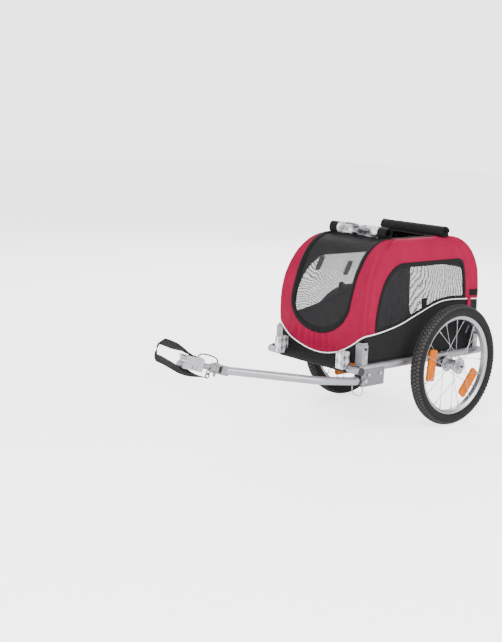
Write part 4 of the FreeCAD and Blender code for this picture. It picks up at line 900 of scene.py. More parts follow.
# %% Paths on the skin
def slope(shape, z):
    """Slope of one of the cabin's outlines, just below the roof at most."""
    z, step = min(z, ROOF - 0.002), 0.0004
    return (shape(z + step) - shape(z - step)) / (2 * step)


def on_front(x, z):
    return Vector((x, front_at(z), z)), Vector((0, -1, slope(front_at, z))).normalized()


def on_side(side, y, z):
    return Vector((side * half_at(z), y, z)), Vector((side, 0, -slope(half_at, z))).normalized()


def on_rear(x, z):
    return Vector((x, rear_at(z), z)), Vector((0, 1, -slope(rear_at, z))).normalized()


def on_roof(x, y):
    return Vector((x, y, ROOF)), Vector((0, 0, 1))


def only_points(path):
    return [p for p, _ in path]


def even(path, count):
    """The same line with that many evenly spaced steps."""
    lengths = lengths_along(only_points(path))
    spaced, index = [], 0
    for share in shares(count):
        goal = lengths[-1] * share
        while index < len(path) - 2 and lengths[index + 1] < goal:
            index += 1
        span = max(lengths[index + 1] - lengths[index], 1e-9)
        t = (goal - lengths[index]) / span
        (p, n), (q, m) = path[index], path[index + 1]
        spaced.append((p.lerp(q, t), n.lerp(m, t).normalized()))
    return spaced


def quarter(count):
    """Angles up to a right angle, without the first."""
    return [math.pi / 2 * share for share in shares(count)[1:]]


print("angles of a quarter turn:", [round(a, 2) for a in quarter(3)])

# %% Window and seam paths
def front_window_path(grow):
    """Round the front window: up one side, over the top edge, down the other, round the bowl."""
    half, reach = FRONT_WINDOW["half"] + grow, FRONT_WINDOW["reach"] + grow
    bowl, depth = FRONT_WINDOW["bowl"], FRONT_WINDOW["depth"] + grow
    wide, tall = FRONT_BEND
    first = math.asin((bowl - ROOF + tall) / tall)
    last = math.acos(1 - reach / wide)
    heights = [ROOF - tall + tall * math.sin(first + (last - first) * s) for s in shares(40)]
    path = [on_front(half, z) for z in heights]
    path += [on_roof(half * (1 - 2 * s), FRONT + reach) for s in shares(20)[1:-1]]
    path += [on_front(-half, z) for z in reversed(heights)]
    for angle in (math.pi * s for s in shares(60)[1:-1]):
        path.append(on_front(-half * math.cos(angle), bowl - depth * math.sin(angle)))
    return even(path + path[:1], 180)


def side_window_path(side, grow):
    """Round a side window: along the piping to the rear, up, forward and down the shoulder."""
    front, rear = SIDE_WINDOW["front"] - grow, SIDE_WINDOW["rear"] + grow
    top, lean, turn = SIDE_WINDOW["top"] + grow, SIDE_WINDOW["lean"], SIDE_WINDOW["turn"]
    long, tall = SIDE_WINDOW["shoulder"]
    line = [(y, seam_height(side * HALF, y) + 0.004)
            for y in (front + (rear - front) * s for s in shares(40))]
    low = line[-1][1]
    line += [(rear - lean * (z - BASE) / (top - BASE), z)
             for z in (low + (top - turn - low) * s for s in shares(20)[1:])]
    end = line[-1][0]
    line += [(end - turn * (1 - math.cos(a)), top - turn + turn * math.sin(a)) for a in quarter(6)]
    corner = front + long + grow
    line += [(end - turn + (corner - end + turn) * s, top) for s in shares(30)[1:]]
    line += [(corner - (long + grow) * math.sin(a), top - tall + tall * math.cos(a))
             for a in quarter(24)]
    last = line[-1][1]
    line += [(front, last + (line[0][1] - last) * s) for s in shares(12)[1:-1]]
    path = [on_side(side, y, z) for y, z in line]
    return even(path + path[:1], 220)


def rear_window_path(grow):
    """Round the rear net, with a quarter circle in each corner."""
    half, corner = REAR_WINDOW["half"] + grow, REAR_WINDOW["corner"]
    low, high = REAR_WINDOW["low"] - grow, REAR_WINDOW["high"] + grow
    path = []
    for sx, sz in ((1, -1), (1, 1), (-1, 1), (-1, -1)):
        x, z = sx * (half - corner), (high if sz > 0 else low) - sz * corner
        arc = [on_rear(x + sx * corner * math.cos(a), z + sz * corner * math.sin(a))
               for a in [0.0] + quarter(10)]
        path += arc if sx * sz > 0 else arc[::-1]
    return even(path + path[:1], 180)


def hatch_path(grow):
    half, front, rear = HATCH["half"] + grow, HATCH["front"] - grow, HATCH["rear"] + grow
    corners = [(half, front), (half, rear), (-half, rear), (-half, front), (half, front)]
    path = []
    for (x, y), (x2, y2) in zip(corners, corners[1:]):
        path += [on_roof(x + (x2 - x) * s, y + (y2 - y) * s) for s in shares(20)[:-1]]
    return even(path + path[:1], 120)


def seam_path(rise=0.0):
    """Once round the cabin along the seam, or a little above it."""
    return even([ring_point(place, seam_of(place) + rise) for place in RING], 420)


def lifted(path, lift=0.0):
    """The path on the cloth as it really lies, with its relief, and a little above it."""
    return [(p + n * (cloth_relief(p) + lift), n) for p, n in path]


def past_rear_net(path):
    """A path round the cabin, opened where the rear net crosses it."""
    reach = REAR_WINDOW["half"] + 0.004
    bare = [i for i, (p, _) in enumerate(path) if p.y > REAR - 0.05 and abs(p.x) < reach]
    return path[bare[-1] + 1:] + path[:bare[0]]


print("seam round the cabin:", round(lengths_along(only_points(seam_path()))[-1], 3), "m")

# %% Tapes
TAPE = 0.0012
TAPE_SECTION = ((-0.5, -0.3), (-0.5, 0.5), (-0.25, 1), (0.25, 1), (0.5, 0.5), (0.5, -0.3))
FRONT_TAPE, REAR_TAPE, HATCH_TAPE, SIDE_TAPE = 0.0012, 0.002, 0.003, -0.0022


def lay_front(p):
    return on_roof(p.x, p.y) if p.z > ROOF - 0.003 else on_front(p.x, p.z)


def lay_side(p):
    return on_side(math.copysign(1, p.x), p.y, p.z)


def lay_rear(p):
    return on_rear(p.x, p.z)


def ribbon_mesh(name, path, width, thick=TAPE, closed=False, crown=0.0004, lay=None):
    """Flat tape along a path of points and normals; lay puts each of its points on the skin."""
    made = new_sheet()
    if closed:
        path = path[:-1]
    last = len(path) - 1
    rows = []
    for index, (point, facing) in enumerate(path):
        before = path[index - 1 if closed else max(index - 1, 0)][0]
        after = path[(index + 1) % len(path) if closed else min(index + 1, last)][0]
        across = (after - before).cross(facing).normalized()
        row = []
        for s, h in TAPE_SECTION:
            spot, out = point + across * width * s, facing
            if lay:
                spot, out = lay(spot)
                spot = spot + out * (cloth_relief(spot) + 0.0005)
            row.append(made.verts.new(spot + out * (thick * h + crown * (h == 1))))
        rows.append(row + row[:1])
    points = only_points(path)
    along = lengths_along(points + points[:1])
    loop = rows + rows[:1] if closed else rows
    grid_faces(made, loop, [[(k * width / 5, far) for k in range(len(rows[0]))] for far in along])
    if not closed:
        made.faces.new(rows[0][-2::-1])
        made.faces.new(rows[-1][:-1])
    bmesh.ops.recalc_face_normals(made, faces=made.faces)
    return mesh_from(name, made)


def join_meshes(name, meshes, finish):
    """One piece from several meshes of the same finish."""
    whole = bmesh.new()
    for mesh in meshes:
        whole.from_mesh(mesh)
        bpy.data.meshes.remove(mesh)
    return link_piece(name, mesh_from(name, whole), finish)


inside_seam = [(p - n * 0.0030, -n) for p, n in lifted(seam_path())[:-1]]
bindings = [
    ribbon_mesh("front_binding", front_window_path(FRONT_TAPE), 0.0185, closed=True, lay=lay_front),
    ribbon_mesh("rear_binding", rear_window_path(REAR_TAPE), 0.016, closed=True, lay=lay_rear),
    ribbon_mesh("hatch_binding", lifted(hatch_path(HATCH_TAPE), 0.0004), 0.016, closed=True),
    ribbon_mesh("seam_tape", past_rear_net(inside_seam), 0.0135),
]
for side in (1, -1):
    path = side_window_path(side, SIDE_TAPE)
    bindings.append(ribbon_mesh("side_binding", path, 0.0150, closed=True, lay=lay_side))
binding = join_meshes("window_bindings", bindings, "black_binding")
settle(binding, "frame", "black_cloth", keep=FOLD_KEEP)
print("bindings:", len(binding.data.polygons), "faces")

# %% [markdown]
# ## Things that follow a path
# Piping, hems and stitches all run along a line. Geometry Nodes do this well: one tree
# sweeps a circle along the edges of a path, another sets a small stitch at every step of
# it. A tree has named inputs for its sizes, so the same tree serves every seam.

# %% Path trees
class Tree:
    """A Geometry Nodes tree under construction, with named number inputs."""

    def __init__(self, name, **sizes):
        self.group = bpy.data.node_groups.new(name, "GeometryNodeTree")
        face = self.group.interface
        face.new_socket("Geometry", in_out="INPUT", socket_type="NodeSocketGeometry")
        for key, value in sizes.items():
            kind = "NodeSocketInt" if isinstance(value, int) else "NodeSocketFloat"
            face.new_socket(key, in_out="INPUT", socket_type=kind).default_value = value
        face.new_socket("Geometry", in_out="OUTPUT", socket_type="NodeSocketGeometry")
        self.enter = self.group.nodes.new("NodeGroupInput")
        self.leave = self.group.nodes.new("NodeGroupOutput")

    def given(self, key):
        return self.enter.outputs[key]

    def node(self, kind, settings=None, inputs=None, out=0):
        made = self.group.nodes.new(kind)
        for key, value in (settings or {}).items():
            setattr(made, key, value)
        for key, value in (inputs or {}).items():
            if isinstance(value, bpy.types.NodeSocket):
                self.group.links.new(value, made.inputs[key])
            else:
                made.inputs[key].default_value = value
        return made.outputs[out]

    def close(self, shape, finish):
        """Real faces in their finish."""
        real = self.node("GeometryNodeRealizeInstances", {}, {"Geometry": shape})
        painted = self.node("GeometryNodeSetMaterial", {},
                            {"Geometry": real, "Material": FINISH[finish]})
        self.group.links.new(painted, self.leave.inputs["Geometry"])
        return self.group


def cord_tree(finish):
    """Sweep a circle along a path of edges."""
    tree = Tree("cord_" + finish, Radius=0.002, Sides=10)
    curve = tree.node("GeometryNodeMeshToCurve", {}, {"Mesh": tree.given("Geometry")})
    ring = tree.node("GeometryNodeCurvePrimitiveCircle", {},
                     {"Resolution": tree.given("Sides"), "Radius": tree.given("Radius")})
    tube = tree.node("GeometryNodeCurveToMesh", {},
                     {"Curve": curve, "Profile Curve": ring, "Fill Caps": True})
    smooth = tree.node("GeometryNodeSetShadeSmooth", {}, {"Geometry": tube})
    return tree.close(smooth, finish)


def stitch_tree(finish):
    """A short thread at every step along a path."""
    tree = Tree("stitch_" + finish, Step=0.0045, Long=0.003, Radius=0.0005)
    curve = tree.node("GeometryNodeMeshToCurve", {}, {"Mesh": tree.given("Geometry")})
    places = tree.node("GeometryNodeCurveToPoints", {"mode": "LENGTH"},
                       {"Curve": curve, "Length": tree.given("Step")}, out="Points")
    thread = tree.node("GeometryNodeMeshCylinder", {}, {
        "Vertices": 6, "Radius": tree.given("Radius"), "Depth": tree.given("Long")})
    set_out = tree.node("GeometryNodeInstanceOnPoints", {}, {
        "Points": places, "Instance": thread, "Rotation": places.node.outputs["Rotation"]})
    return tree.close(set_out, finish)


print("path trees: cord and stitch")

# %% Pieces along a path
def path_piece(name, paths):
    """A piece of bare edges, to be swept by a tree."""
    mesh = bpy.data.meshes.new(name)
    points, edges = [], []
    for path in paths:
        start = len(points)
        points += [tuple(p) for p in path]
        edges += [(start + i, start + i + 1) for i in range(len(path) - 1)]
    mesh.from_pydata(points, edges, [])
    return link_piece(name, mesh)


def grow(piece, tree, finish, **sizes):
    """Run a tree on a piece and keep the result as a plain mesh."""
    modifier = piece.modifiers.new("tree", "NODES")
    modifier.node_group = tree
    for item in tree.interface.items_tree:
        if item.in_out == "INPUT" and item.name in sizes:
            modifier[item.identifier] = sizes[item.name]
    keep_modified(piece)
    piece.data.materials.clear()
    piece.data.materials.append(FINISH[finish])
    return piece


def swept(name, paths, finish, radius, sides=10):
    """Round cords along paths."""
    return grow(path_piece(name, paths), cord_tree(finish), finish, Radius=radius, Sides=sides)


def stitched(name, paths, finish, step=0.0048, long=0.0032, radius=0.00035):
    """Rows of thread along paths."""
    return grow(path_piece(name, paths), stitch_tree(finish), finish,
                Step=step, Long=long, Radius=radius)


def runs_where(path, holds):
    """The stretches of a path where a test holds, without the shortest ones."""
    runs = [[]]
    for spot in path:
        if holds(spot):
            runs[-1].append(spot)
        else:
            runs.append([])
    return [run for run in runs if len(run) > 3]


print("cords and rows of stitches can be made")

# %% Piping and hems
HEM_DROP = Vector((0, 0, 0.0013))


def outside_notch(spot):
    return not in_corner_notch(spot[0])


seam_cord = past_rear_net(lifted(seam_path(), 0.0014)[:-1])
piping = swept("white_piping", [only_points(seam_cord)], "white_piping", 0.0019)
settle(piping, "frame", "red_cloth", keep=FOLD_KEEP)
foot_runs = runs_where([ring_point(place, BASE) for place in RING], outside_notch)
hem_runs = [[p - n * 0.0005 - HEM_DROP for p, n in run] for run in foot_runs]
hem = swept("wall_hem", hem_runs, "black_binding", 0.0033)
settle(hem, "frame", "black_cloth", keep=FOLD_KEEP)
print("piping and hem:", len(piping.data.polygons), len(hem.data.polygons))

# %% [markdown]
# ## Cloth round the hinges and the cross tube
# Behind each hinge the black wall turns in, so that the metal foot stands outside the cloth.
# A small gusset with two walls and a soft corner closes that notch. At the front, the same
# black cloth is drawn down round the cross tube and ends in a hem under it. Inside, a flat
# skirt of the same cloth lies on the edge of the floor board and closes the gap to the wall.

# %% Gussets
GUSSET_TOP = NOTCH["top"] + 0.029
GUSSET_KEEP = 0.06  # the feet swing over the gussets, which crumple down to the floor
GUSSET_BEND, GUSSET_INSET = 0.008, 0.0015


def sheet_mesh(name, rows):
    """A grid of points as a sheet, with its weave map in metres."""
    made = new_sheet()
    spots = [[made.verts.new(p) for p in row] for row in rows]
    downs, acrosses = lengths_along([row[0] for row in rows]), lengths_along(rows[0])
    grid_faces(made, spots, [[(across, down) for across in acrosses] for down in downs])
    made.normal_update()
    return mesh_from(name, made)


def sewn(name, sheets, finish, slot_name, *nodes, thick=CLOTH, offset=-1, keep=FOLD_KEEP):
    """Grids of points as one piece of the cabin, with the thickness of their cloth."""
    piece = join_meshes(name, [sheet_mesh(name, rows) for rows in sheets], finish)
    with_modifier(piece, "SOLIDIFY", thickness=thick, offset=offset, use_rim=True)
    return settle(piece, "frame", slot_name, *nodes, keep=keep)


def gusset_rows(side, end):
    """Two walls round one notch, from the side skin in, and then to the end wall."""
    inner = NOTCH["inner"] - GUSSET_INSET
    inside = (NOTCH["front"] if end < 0 else NOTCH["rear"]) - end * GUSSET_INSET
    rows = []
    for share in shares(8):
        z = BASE + (GUSSET_TOP - BASE) * share
        wall_y = front_at(z) + 0.0008 if end < 0 else rear_at(z) - 0.0008
        line = [Vector((side * (half_at(z) - 0.0006), inside, z))]
        for angle in [0.0] + quarter(6):
            x = inner + GUSSET_BEND * (1 - math.sin(angle))
            y = inside + end * GUSSET_BEND * (1 - math.cos(angle))
            line.append(Vector((side * x, y, z)))
        turned, wall = line[-1], Vector((side * inner, wall_y, z))
        line += [turned.lerp(wall, t) for t in (0.35, 0.7, 1.0)]
        rows.append([p + Vector((0, 0, 0.0012 * noise.noise(p * 30))) for p in line])
    return rows


gussets = sewn("corner_gussets", [gusset_rows(side, end) for side in (1, -1) for end in (-1, 1)],
               "black_cloth", "black_cloth", offset=0, keep=GUSSET_KEEP)
print("gussets:", len(gussets.data.polygons), "faces")

# %% Wrap and skirt
CROSS_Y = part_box("front_reflector_housings")[1].y
CROSS_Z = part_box("front_reflector_housings")[0].z
WRAP_HALF, WRAP_RADIUS = 0.152, 0.0138
SKIRT_HEIGHT = 0.2389
SKIRT_REAR, SKIRT_LONG = (0.606, 0.6405), (0.0935, 0.603)


def grid(down, across, place):
    """Rows of points: place(u, v) for even shares down and across a sheet."""
    return [[place(u, v) for v in shares(across)] for u in shares(down)]


def between(low, high, share):
    return low + (high - low) * share


def wrap_section(share):
    """The cloth from the wall's foot, down over the front of the tube and under it."""
    x = WRAP_HALF * (2 * share - 1)
    sway = 0.0005 * noise.noise(Vector((x * 22, 3, 1)))
    foot = Vector((x, FRONT + 0.0010, BASE + 0.004))
    section = [foot, foot.lerp(Vector((x, CROSS_Y + 0.006, CROSS_Z + WRAP_RADIUS)), 0.55)]
    for way in shares(18):
        a = math.radians(72 + 208 * way)
        reach = WRAP_RADIUS + sway + 0.0004 * noise.noise(Vector((x * 40, a * 2, 7)))
        section.append(Vector((x, CROSS_Y + reach * math.cos(a), CROSS_Z + reach * math.sin(a))))
    droop = 0.003 + 0.002 * noise.noise(Vector((x * 14, 0, 5)))
    return section + [section[-1] + Vector((0, 0.006, -droop))]


def skirt_spot(x, y):
    return Vector((x, y, SKIRT_HEIGHT + 0.0007 * noise.noise(Vector((x * 18, y * 18, 4)))))


def rear_skirt(along, across):
    return skirt_spot(between(-0.159, 0.159, along), between(*SKIRT_REAR, across))


def left_skirt(along, across):
    return skirt_spot(between(0.150, 0.1868, across), between(*SKIRT_LONG, along))


def right_skirt(along, across):
    return skirt_spot(between(-0.150, -0.1868, across), between(*SKIRT_LONG, along))


wrap = sewn("front_wrap", [[wrap_section(share) for share in shares(96)]], "black_cloth",
            "black_cloth", "lower_walls", offset=0, keep=None)
skirt = sewn("floor_skirt", [grid(40, 4, strip) for strip in (rear_skirt, left_skirt, right_skirt)],
             "black_cloth", "black_cloth", offset=0, keep=None)
print("wrap and skirt:", len(wrap.data.polygons), len(skirt.data.polygons), "faces")

# %% [markdown]
# ## Two rolled covers on the roof
# A clear rain cover and a black sun cover lie rolled up across the roof. In section a rolled
# sheet is a spiral, so each point needs only a turn and a reach. The film is stiff: it
# creases in long sharp folds, which a folded noise gives, and its black bound ends are
# thicker and stay open like a ring. The black cloth is soft and its ends are crumpled.

# %% Rolled covers
ROLL_COLUMNS, STEPS_PER_TURN, ROLL_END = 84, 40, -0.6
RAIN_LOW, RAIN_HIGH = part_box("rain_cover_roll")
BOUND = 0.036


def rolled_rows(node_name, turns, core, crease, swell=0.0):
    """Points of a sheet rolled up in the space of its node, from the inside out."""
    low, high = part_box(node_name)
    middle, outer = (low + high) / 2, (high.z - low.z) / 2 + swell

    def place(share, across):
        angle = ROLL_END + TURN * turns * (share - 1)
        y, z = math.cos(angle), math.sin(angle)
        x = between(low.x, high.x, across)
        end = min(x - low.x, high.x - x)
        fold = 1 - 2 * abs(noise.noise(Vector((x * 16, y * 2.6, z * 2.6 + share * 3))))
        fine = noise.noise(Vector((x * 60, y * 5, z * 5 + share * 4)))
        reach = between(core, outer, share) + crease(end) * (0.7 * fold + 0.3 * fine - 0.4)
        ragged = 0.0016 * noise.noise(Vector((angle, share * 4, x * 3))) * (end < 0.001)
        return Vector((x + ragged, middle.y + y * reach, max(middle.z + z * reach, low.z)))

    return grid(int(turns * STEPS_PER_TURN), ROLL_COLUMNS, place)


def film_crease(end):
    """The bound ends stay round and full, the film between them shrinks into creases."""
    return 0.0006 + 0.0052 * ease(0.030, 0.044, end)


def cloth_crease(end):
    return 0.0010 + 0.0060 * ease(0.010, 0.0, end)


film = sheet_mesh("rain_cover", rolled_rows("rain_cover_roll", 2.3, 0.0125, film_crease))
rain = link_piece("rain_cover", film, "clear_film")
film.materials.append(FINISH["black_binding"])
for face in film.polygons:
    x = face.center.x
    face.material_index = int(min(x - RAIN_LOW.x, RAIN_HIGH.x - x) < BOUND)
with_modifier(rain, "SOLIDIFY", thickness=0.0009, offset=-1, use_rim=True)
settle(rain, "frame", "clear_film", "rain_cover_roll", keep=FOLD_KEEP)
sun = sewn("sun_cover", [rolled_rows("roof_cover_roll", 3.4, 0.004, cloth_crease, swell=0.0042)],
           "black_cloth", "black_cloth", "roof_cover_roll", thick=0.0011)
print("rolled covers:", len(rain.data.polygons), len(sun.data.polygons), "faces")

# %% [markdown]
# ## Seams, thread and small sewn trim
# The panels meet in raised seams at the four corners, where the hoops press out. A row of
# thread runs beside every seam and round every window. Small tabs are sewn on: two dark
# hook patches on the front net, a loop at each side window, a plain patch and a red
# elastic strap behind it that holds the cover down.

# %% Seams and stitches
BESIDE = {"front_corner": (("front", 1), ("left", 0)), "left_corner": (("left", 1), ("rear", 0)),
          "rear_corner": (("rear", 1), ("right", 0)), "right_corner": (("right", 1), ("front", 0))}
BESIDE_STEP = {"front": 0.015, "rear": 0.015, "left": 0.0099, "right": 0.0099}
THREAD_LIFT = 0.0004


def upright_path(place, above_seam, below_roof, lift):
    """Up the cabin at one place of the ring, from the piping to the roof."""
    low, high = seam_of(place) + above_seam, ROOF - below_roof
    heights = [between(low, high, math.sin(math.pi / 2 * s)) for s in shares(60)]
    return lifted([ring_point(place, z) for z in heights], lift)


def beside_corner(wall, share):
    """A row of stitches a little to one side of a corner seam."""
    step = -BESIDE_STEP[wall] if share else BESIDE_STEP[wall]
    return upright_path((wall, share + step), 0.006, 0.012, THREAD_LIFT)


def on_red(spot):
    p, n = spot
    red = panel_of(p - n * 0.002, False) == "cabin_cover"
    return red and p.z > seam_height(p.x, p.y) + 0.002


corner_lines = [only_points(upright_path((part, 0.5), 0.004, 0.004, 0.0005)) for part in CORNERS]
welts = swept("corner_welts", corner_lines, "red_cloth", 0.0016, sides=8)
settle(welts, "frame", "red_cloth", keep=FOLD_KEEP)
red_rows = [lifted(seam_path(0.0058), THREAD_LIFT)]
red_rows += [beside_corner(*place) for part in CORNERS for place in BESIDE[part]]
red_rows += [lifted(border, THREAD_LIFT) for border in (
    front_window_path(0.0105), rear_window_path(0.0105), hatch_path(0.0135),
    side_window_path(1, 0.0075), side_window_path(-1, 0.0075))]
red_runs = [only_points(run) for row in red_rows for run in runs_where(row, on_red)]
red_stitches = stitched("red_stitches", red_runs, "red_thread")
settle(red_stitches, "frame", "red_cloth", keep=FOLD_KEEP)
black_rows = [lifted(front_window_path(FRONT_TAPE), 0.0022),
              lifted(rear_window_path(REAR_TAPE), 0.0022)]
black_rows += [lifted(side_window_path(side, SIDE_TAPE), 0.002) for side in (1, -1)]
black_stitches = stitched("black_stitches", [only_points(row) for row in black_rows],
                          "black_thread")
settle(black_stitches, "frame", "black_cloth", keep=FOLD_KEEP)
print("thread:", len(red_stitches.data.polygons), len(black_stitches.data.polygons), "faces")

# %% Sewn trim
def patch_rows(surface, middle, half, lift):
    """A small sewn patch with soft corners, laid on the skin round a middle point."""
    def place(down, across):
        v, u = 2 * down - 1, 2 * across - 1
        p, n = surface(middle[0] + u * (1 - 0.05 * v ** 8) * half[0],
                       middle[1] + v * (1 - 0.05 * u ** 8) * half[1])
        swell = 0.0006 * (1 - u ** 4) * (1 - v ** 4)
        return p + n * (cloth_relief(p) + lift + swell)

    return grid(12, 12, place)


def left_side(y, z):
    return on_side(1, y, z)


def right_side(y, z):
    return on_side(-1, y, z)


BOTH_SIDES = (left_side, right_side)
hooks = sewn("hook_patches", [patch_rows(on_front, (x, 0.521), (0.0105, 0.0215), 0.0016)
                              for x in (-0.050, 0.075)], "hook_tape", "black_cloth", thick=0.0014)
loop_tabs = sewn("window_loops", [patch_rows(surface, (0.352, 0.403), (0.0115, 0.0175), 0.0030)
                                  for surface in BOTH_SIDES],
                 "black_binding", "black_cloth", thick=0.0022)
plain = sewn("plain_patch", [patch_rows(left_side, (0.6015, 0.4215), (0.0185, 0.0105), 0.0016)],
             "black_binding", "black_cloth", thick=0.0012)
hold_downs = sewn("hold_down_straps", [patch_rows(surface, (0.5765, 0.386), (0.0095, 0.020), 0.0042)
                                       for surface in BOTH_SIDES],
                  "red_cloth", "red_cloth", thick=0.0018)
print("sewn trim: hook patches, loops, plain patch, hold-down straps")

# %% [markdown]
# ## Small things set out on a surface
# Tread blocks, spoke nipples, zip teeth and valve caps are all small shapes on a spot. Each
# place is one vertex that also stores which way is out and which way is along, as two
# attributes. One tree reads them, turns a small shape to fit, and sets it on every vertex.

# %% Stud tree
def stud_tree(kind, finish):
    """Set one small block or round head on every vertex, turned by its attributes."""
    tree = Tree(kind + "_" + finish, Wide=0.004, Long=0.004, High=0.002, Sides=14)
    wide, long, high = (tree.given(key) for key in ("Wide", "Long", "High"))
    if kind == "block":
        size = tree.node("ShaderNodeCombineXYZ", {}, {0: wide, 1: long, 2: high})
        shape = tree.node("GeometryNodeMeshCube", {}, {"Size": size})
    else:
        foot, tip = (tree.node("ShaderNodeMath", {"operation": "MULTIPLY"}, {0: across, 1: 0.5})
                     for across in (wide, long))
        shape = tree.node("GeometryNodeMeshCone", {}, {
            "Vertices": tree.given("Sides"), "Radius Top": tip, "Radius Bottom": foot,
            "Depth": high})
    facing, along = (tree.node("GeometryNodeInputNamedAttribute", {"data_type": "FLOAT_VECTOR"},
                               {"Name": name}) for name in ("facing", "along"))
    upright = tree.node("FunctionNodeAlignRotationToVector",
                        {"axis": "Z", "pivot_axis": "AUTO"}, {"Vector": facing})
    turned = tree.node("FunctionNodeAlignRotationToVector", {"axis": "Y", "pivot_axis": "Z"},
                       {"Rotation": upright, "Vector": along})
    spread = tree.node("GeometryNodeInstanceOnPoints", {}, {
        "Points": tree.given("Geometry"), "Instance": shape, "Rotation": turned})
    return tree.close(spread, finish)


def studs(name, kind, finish, spots, **sizes):
    """One small shape on each spot: its place, its way out and its way along."""
    mesh = bpy.data.meshes.new(name)
    mesh.from_pydata([tuple(place) for place, _, _ in spots], [], [])
    for key, column in (("facing", 1), ("along", 2)):
        stored = mesh.attributes.new(key, "FLOAT_VECTOR", "POINT")
        for entry, spot in zip(stored.data, spots):
            entry.vector = spot[column]
    return grow(link_piece(name, mesh), stud_tree(kind, finish), finish, **sizes)


print("stud tree: block and round")

# %% [markdown]
# ## Zip at the rear and welds on the frame
# The rear net opens with a zip that runs up one side of it, over the top and down the other.
# Its tape is a ribbon on the skin, and its teeth are studs that step a little left and right
# in turn. Where a cross tube meets a side tube of the same width, the two cylinders cut each
# other in a curve that only needs one angle, and a thin bead of weld follows that curve.

# %% Zip
ZIP_LOW = REAR_WINDOW["low"] - 0.006
ZIP = [(p, n) for p, n in rear_window_path(0.0215) if p.z > ZIP_LOW]
TOOTH_STEPS, TOOTH_ASIDE = 250, 0.0008
DOWN = Vector((0, 0, -1))


def tooth_spots():
    """Teeth every few millimetres along the zip, in turn a little to the left and right."""
    line = lifted(even(ZIP, TOOTH_STEPS), 0.0022)
    spots = []
    for i, ((p, n), (q, _)) in enumerate(zip(line, line[1:])):
        along = (q - p).normalized()
        aside = TOOTH_ASIDE if i % 2 else -TOOTH_ASIDE
        spots.append((p + along.cross(n) * aside, n, along))
    return spots


def zip_block(name, finish, slot_name, place, bevel, **sizes):
    """A small block with soft edges that hangs on the zip."""
    block = studs(name, "block", finish, [(place, slider_out, DOWN)], **sizes)
    with_modifier(block, "BEVEL", width=bevel, segments=3)
    return settle(block, "frame", slot_name, keep=FOLD_KEEP)


zip_tape = link_piece("zip_tape", ribbon_mesh("zip_tape", ZIP, 0.0175, 0.0009, lay=lay_rear),
                      "black_binding")
settle(zip_tape, "frame", "black_cloth", keep=FOLD_KEEP)
teeth = studs("zip_teeth", "block", "black_plastic", tooth_spots(),
              Wide=0.0044, Long=0.0015, High=0.0013)
settle(teeth, "frame", "black_plastic", keep=FOLD_KEEP)
slider_at, slider_out = lifted(ZIP[-3:-2], 0.0034)[0]
slider = zip_block("zip_slider", "dark_steel", "bright_steel", slider_at, 0.0012,
                   Wide=0.0095, Long=0.013, High=0.0042)
puller = zip_block("zip_pull", "black_plastic", "black_plastic",
                   slider_at + DOWN * 0.0155 + slider_out * 0.0012, 0.0007,
                   Wide=0.0062, Long=0.022, High=0.0016)
print("zip teeth:", len(teeth.data.polygons), "faces")

# %% Welds
CROSS_TUBES_Y = (0.45315, 0.61515)
FRONT_TUBE_Y, FRONT_TUBE_Z = 0.0532, 0.217


def weld_paths():
    """Bead lines round the ends of the cross tubes and at the front of the side tubes."""
    low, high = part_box("side_tubes")
    radius = (high.z - low.z) / 2
    middle_x, middle_z = high.x - radius, (low.z + high.z) / 2
    rounds = [(radius * math.cos(TURN * s), radius * math.sin(TURN * s)) for s in shares(48)]
    paths = []
    for side in (1, -1):
        for y in CROSS_TUBES_Y:
            paths.append([Vector((side * (middle_x - abs(c)), y + c, middle_z + s))
                          for c, s in rounds])
        front = []
        for c, s in rounds:
            deep = max(radius ** 2 - (middle_z + s - FRONT_TUBE_Z) ** 2, 0) ** 0.5
            front.append(Vector((side * (middle_x + c), FRONT_TUBE_Y + deep, middle_z + s)))
        paths.append(front)
    return paths


welds = swept("weld_beads", weld_paths(), "bracket_steel", 0.0017, sides=8)
settle(welds, "frame", "frame_tube")
print("welds:", len(welds.data.polygons), "faces")

# %% [markdown]
# ## Wheels
# Each wheel has a sixteen inch tyre. Its carcass is a tube section swung round the axle,
# with a moulded line on the side wall, and its tread is four rows of blocks. A nipple ties
# every spoke to the rim, a valve stands on the rim, and two amber reflectors with soft
# corners are clipped between the spokes.

# %% Tyres and tread
CARCASS, RING_RADIUS, TREAD_COUNT = 0.0207, 0.178, 96
TREAD_ROWS, TREAD_SLANT = (-44, -15, 15, 44), 0.45
TYRE_OPEN, TYRE_WALL = 138, 0.0028
WALL_RINGS = ((82, 2.2), (104, 1.8), (122, 3.5))
ACROSS = Vector((1, 0, 0))


def wheel_centre(side):
    low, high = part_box(side + "_tyre")
    return (low + high) / 2


def wheel_place(centre, across, radius, angle):
    return centre + Vector((across, radius * math.cos(angle), radius * math.sin(angle)))


def wall_thickness(bend):
    """Radius of the tyre's section at an angle from the tread: moulded rings on its side."""
    degrees = abs(math.degrees(bend))
    return CARCASS + 0.0007 * sum(bell(degrees - middle, width) for middle, width in WALL_RINGS)


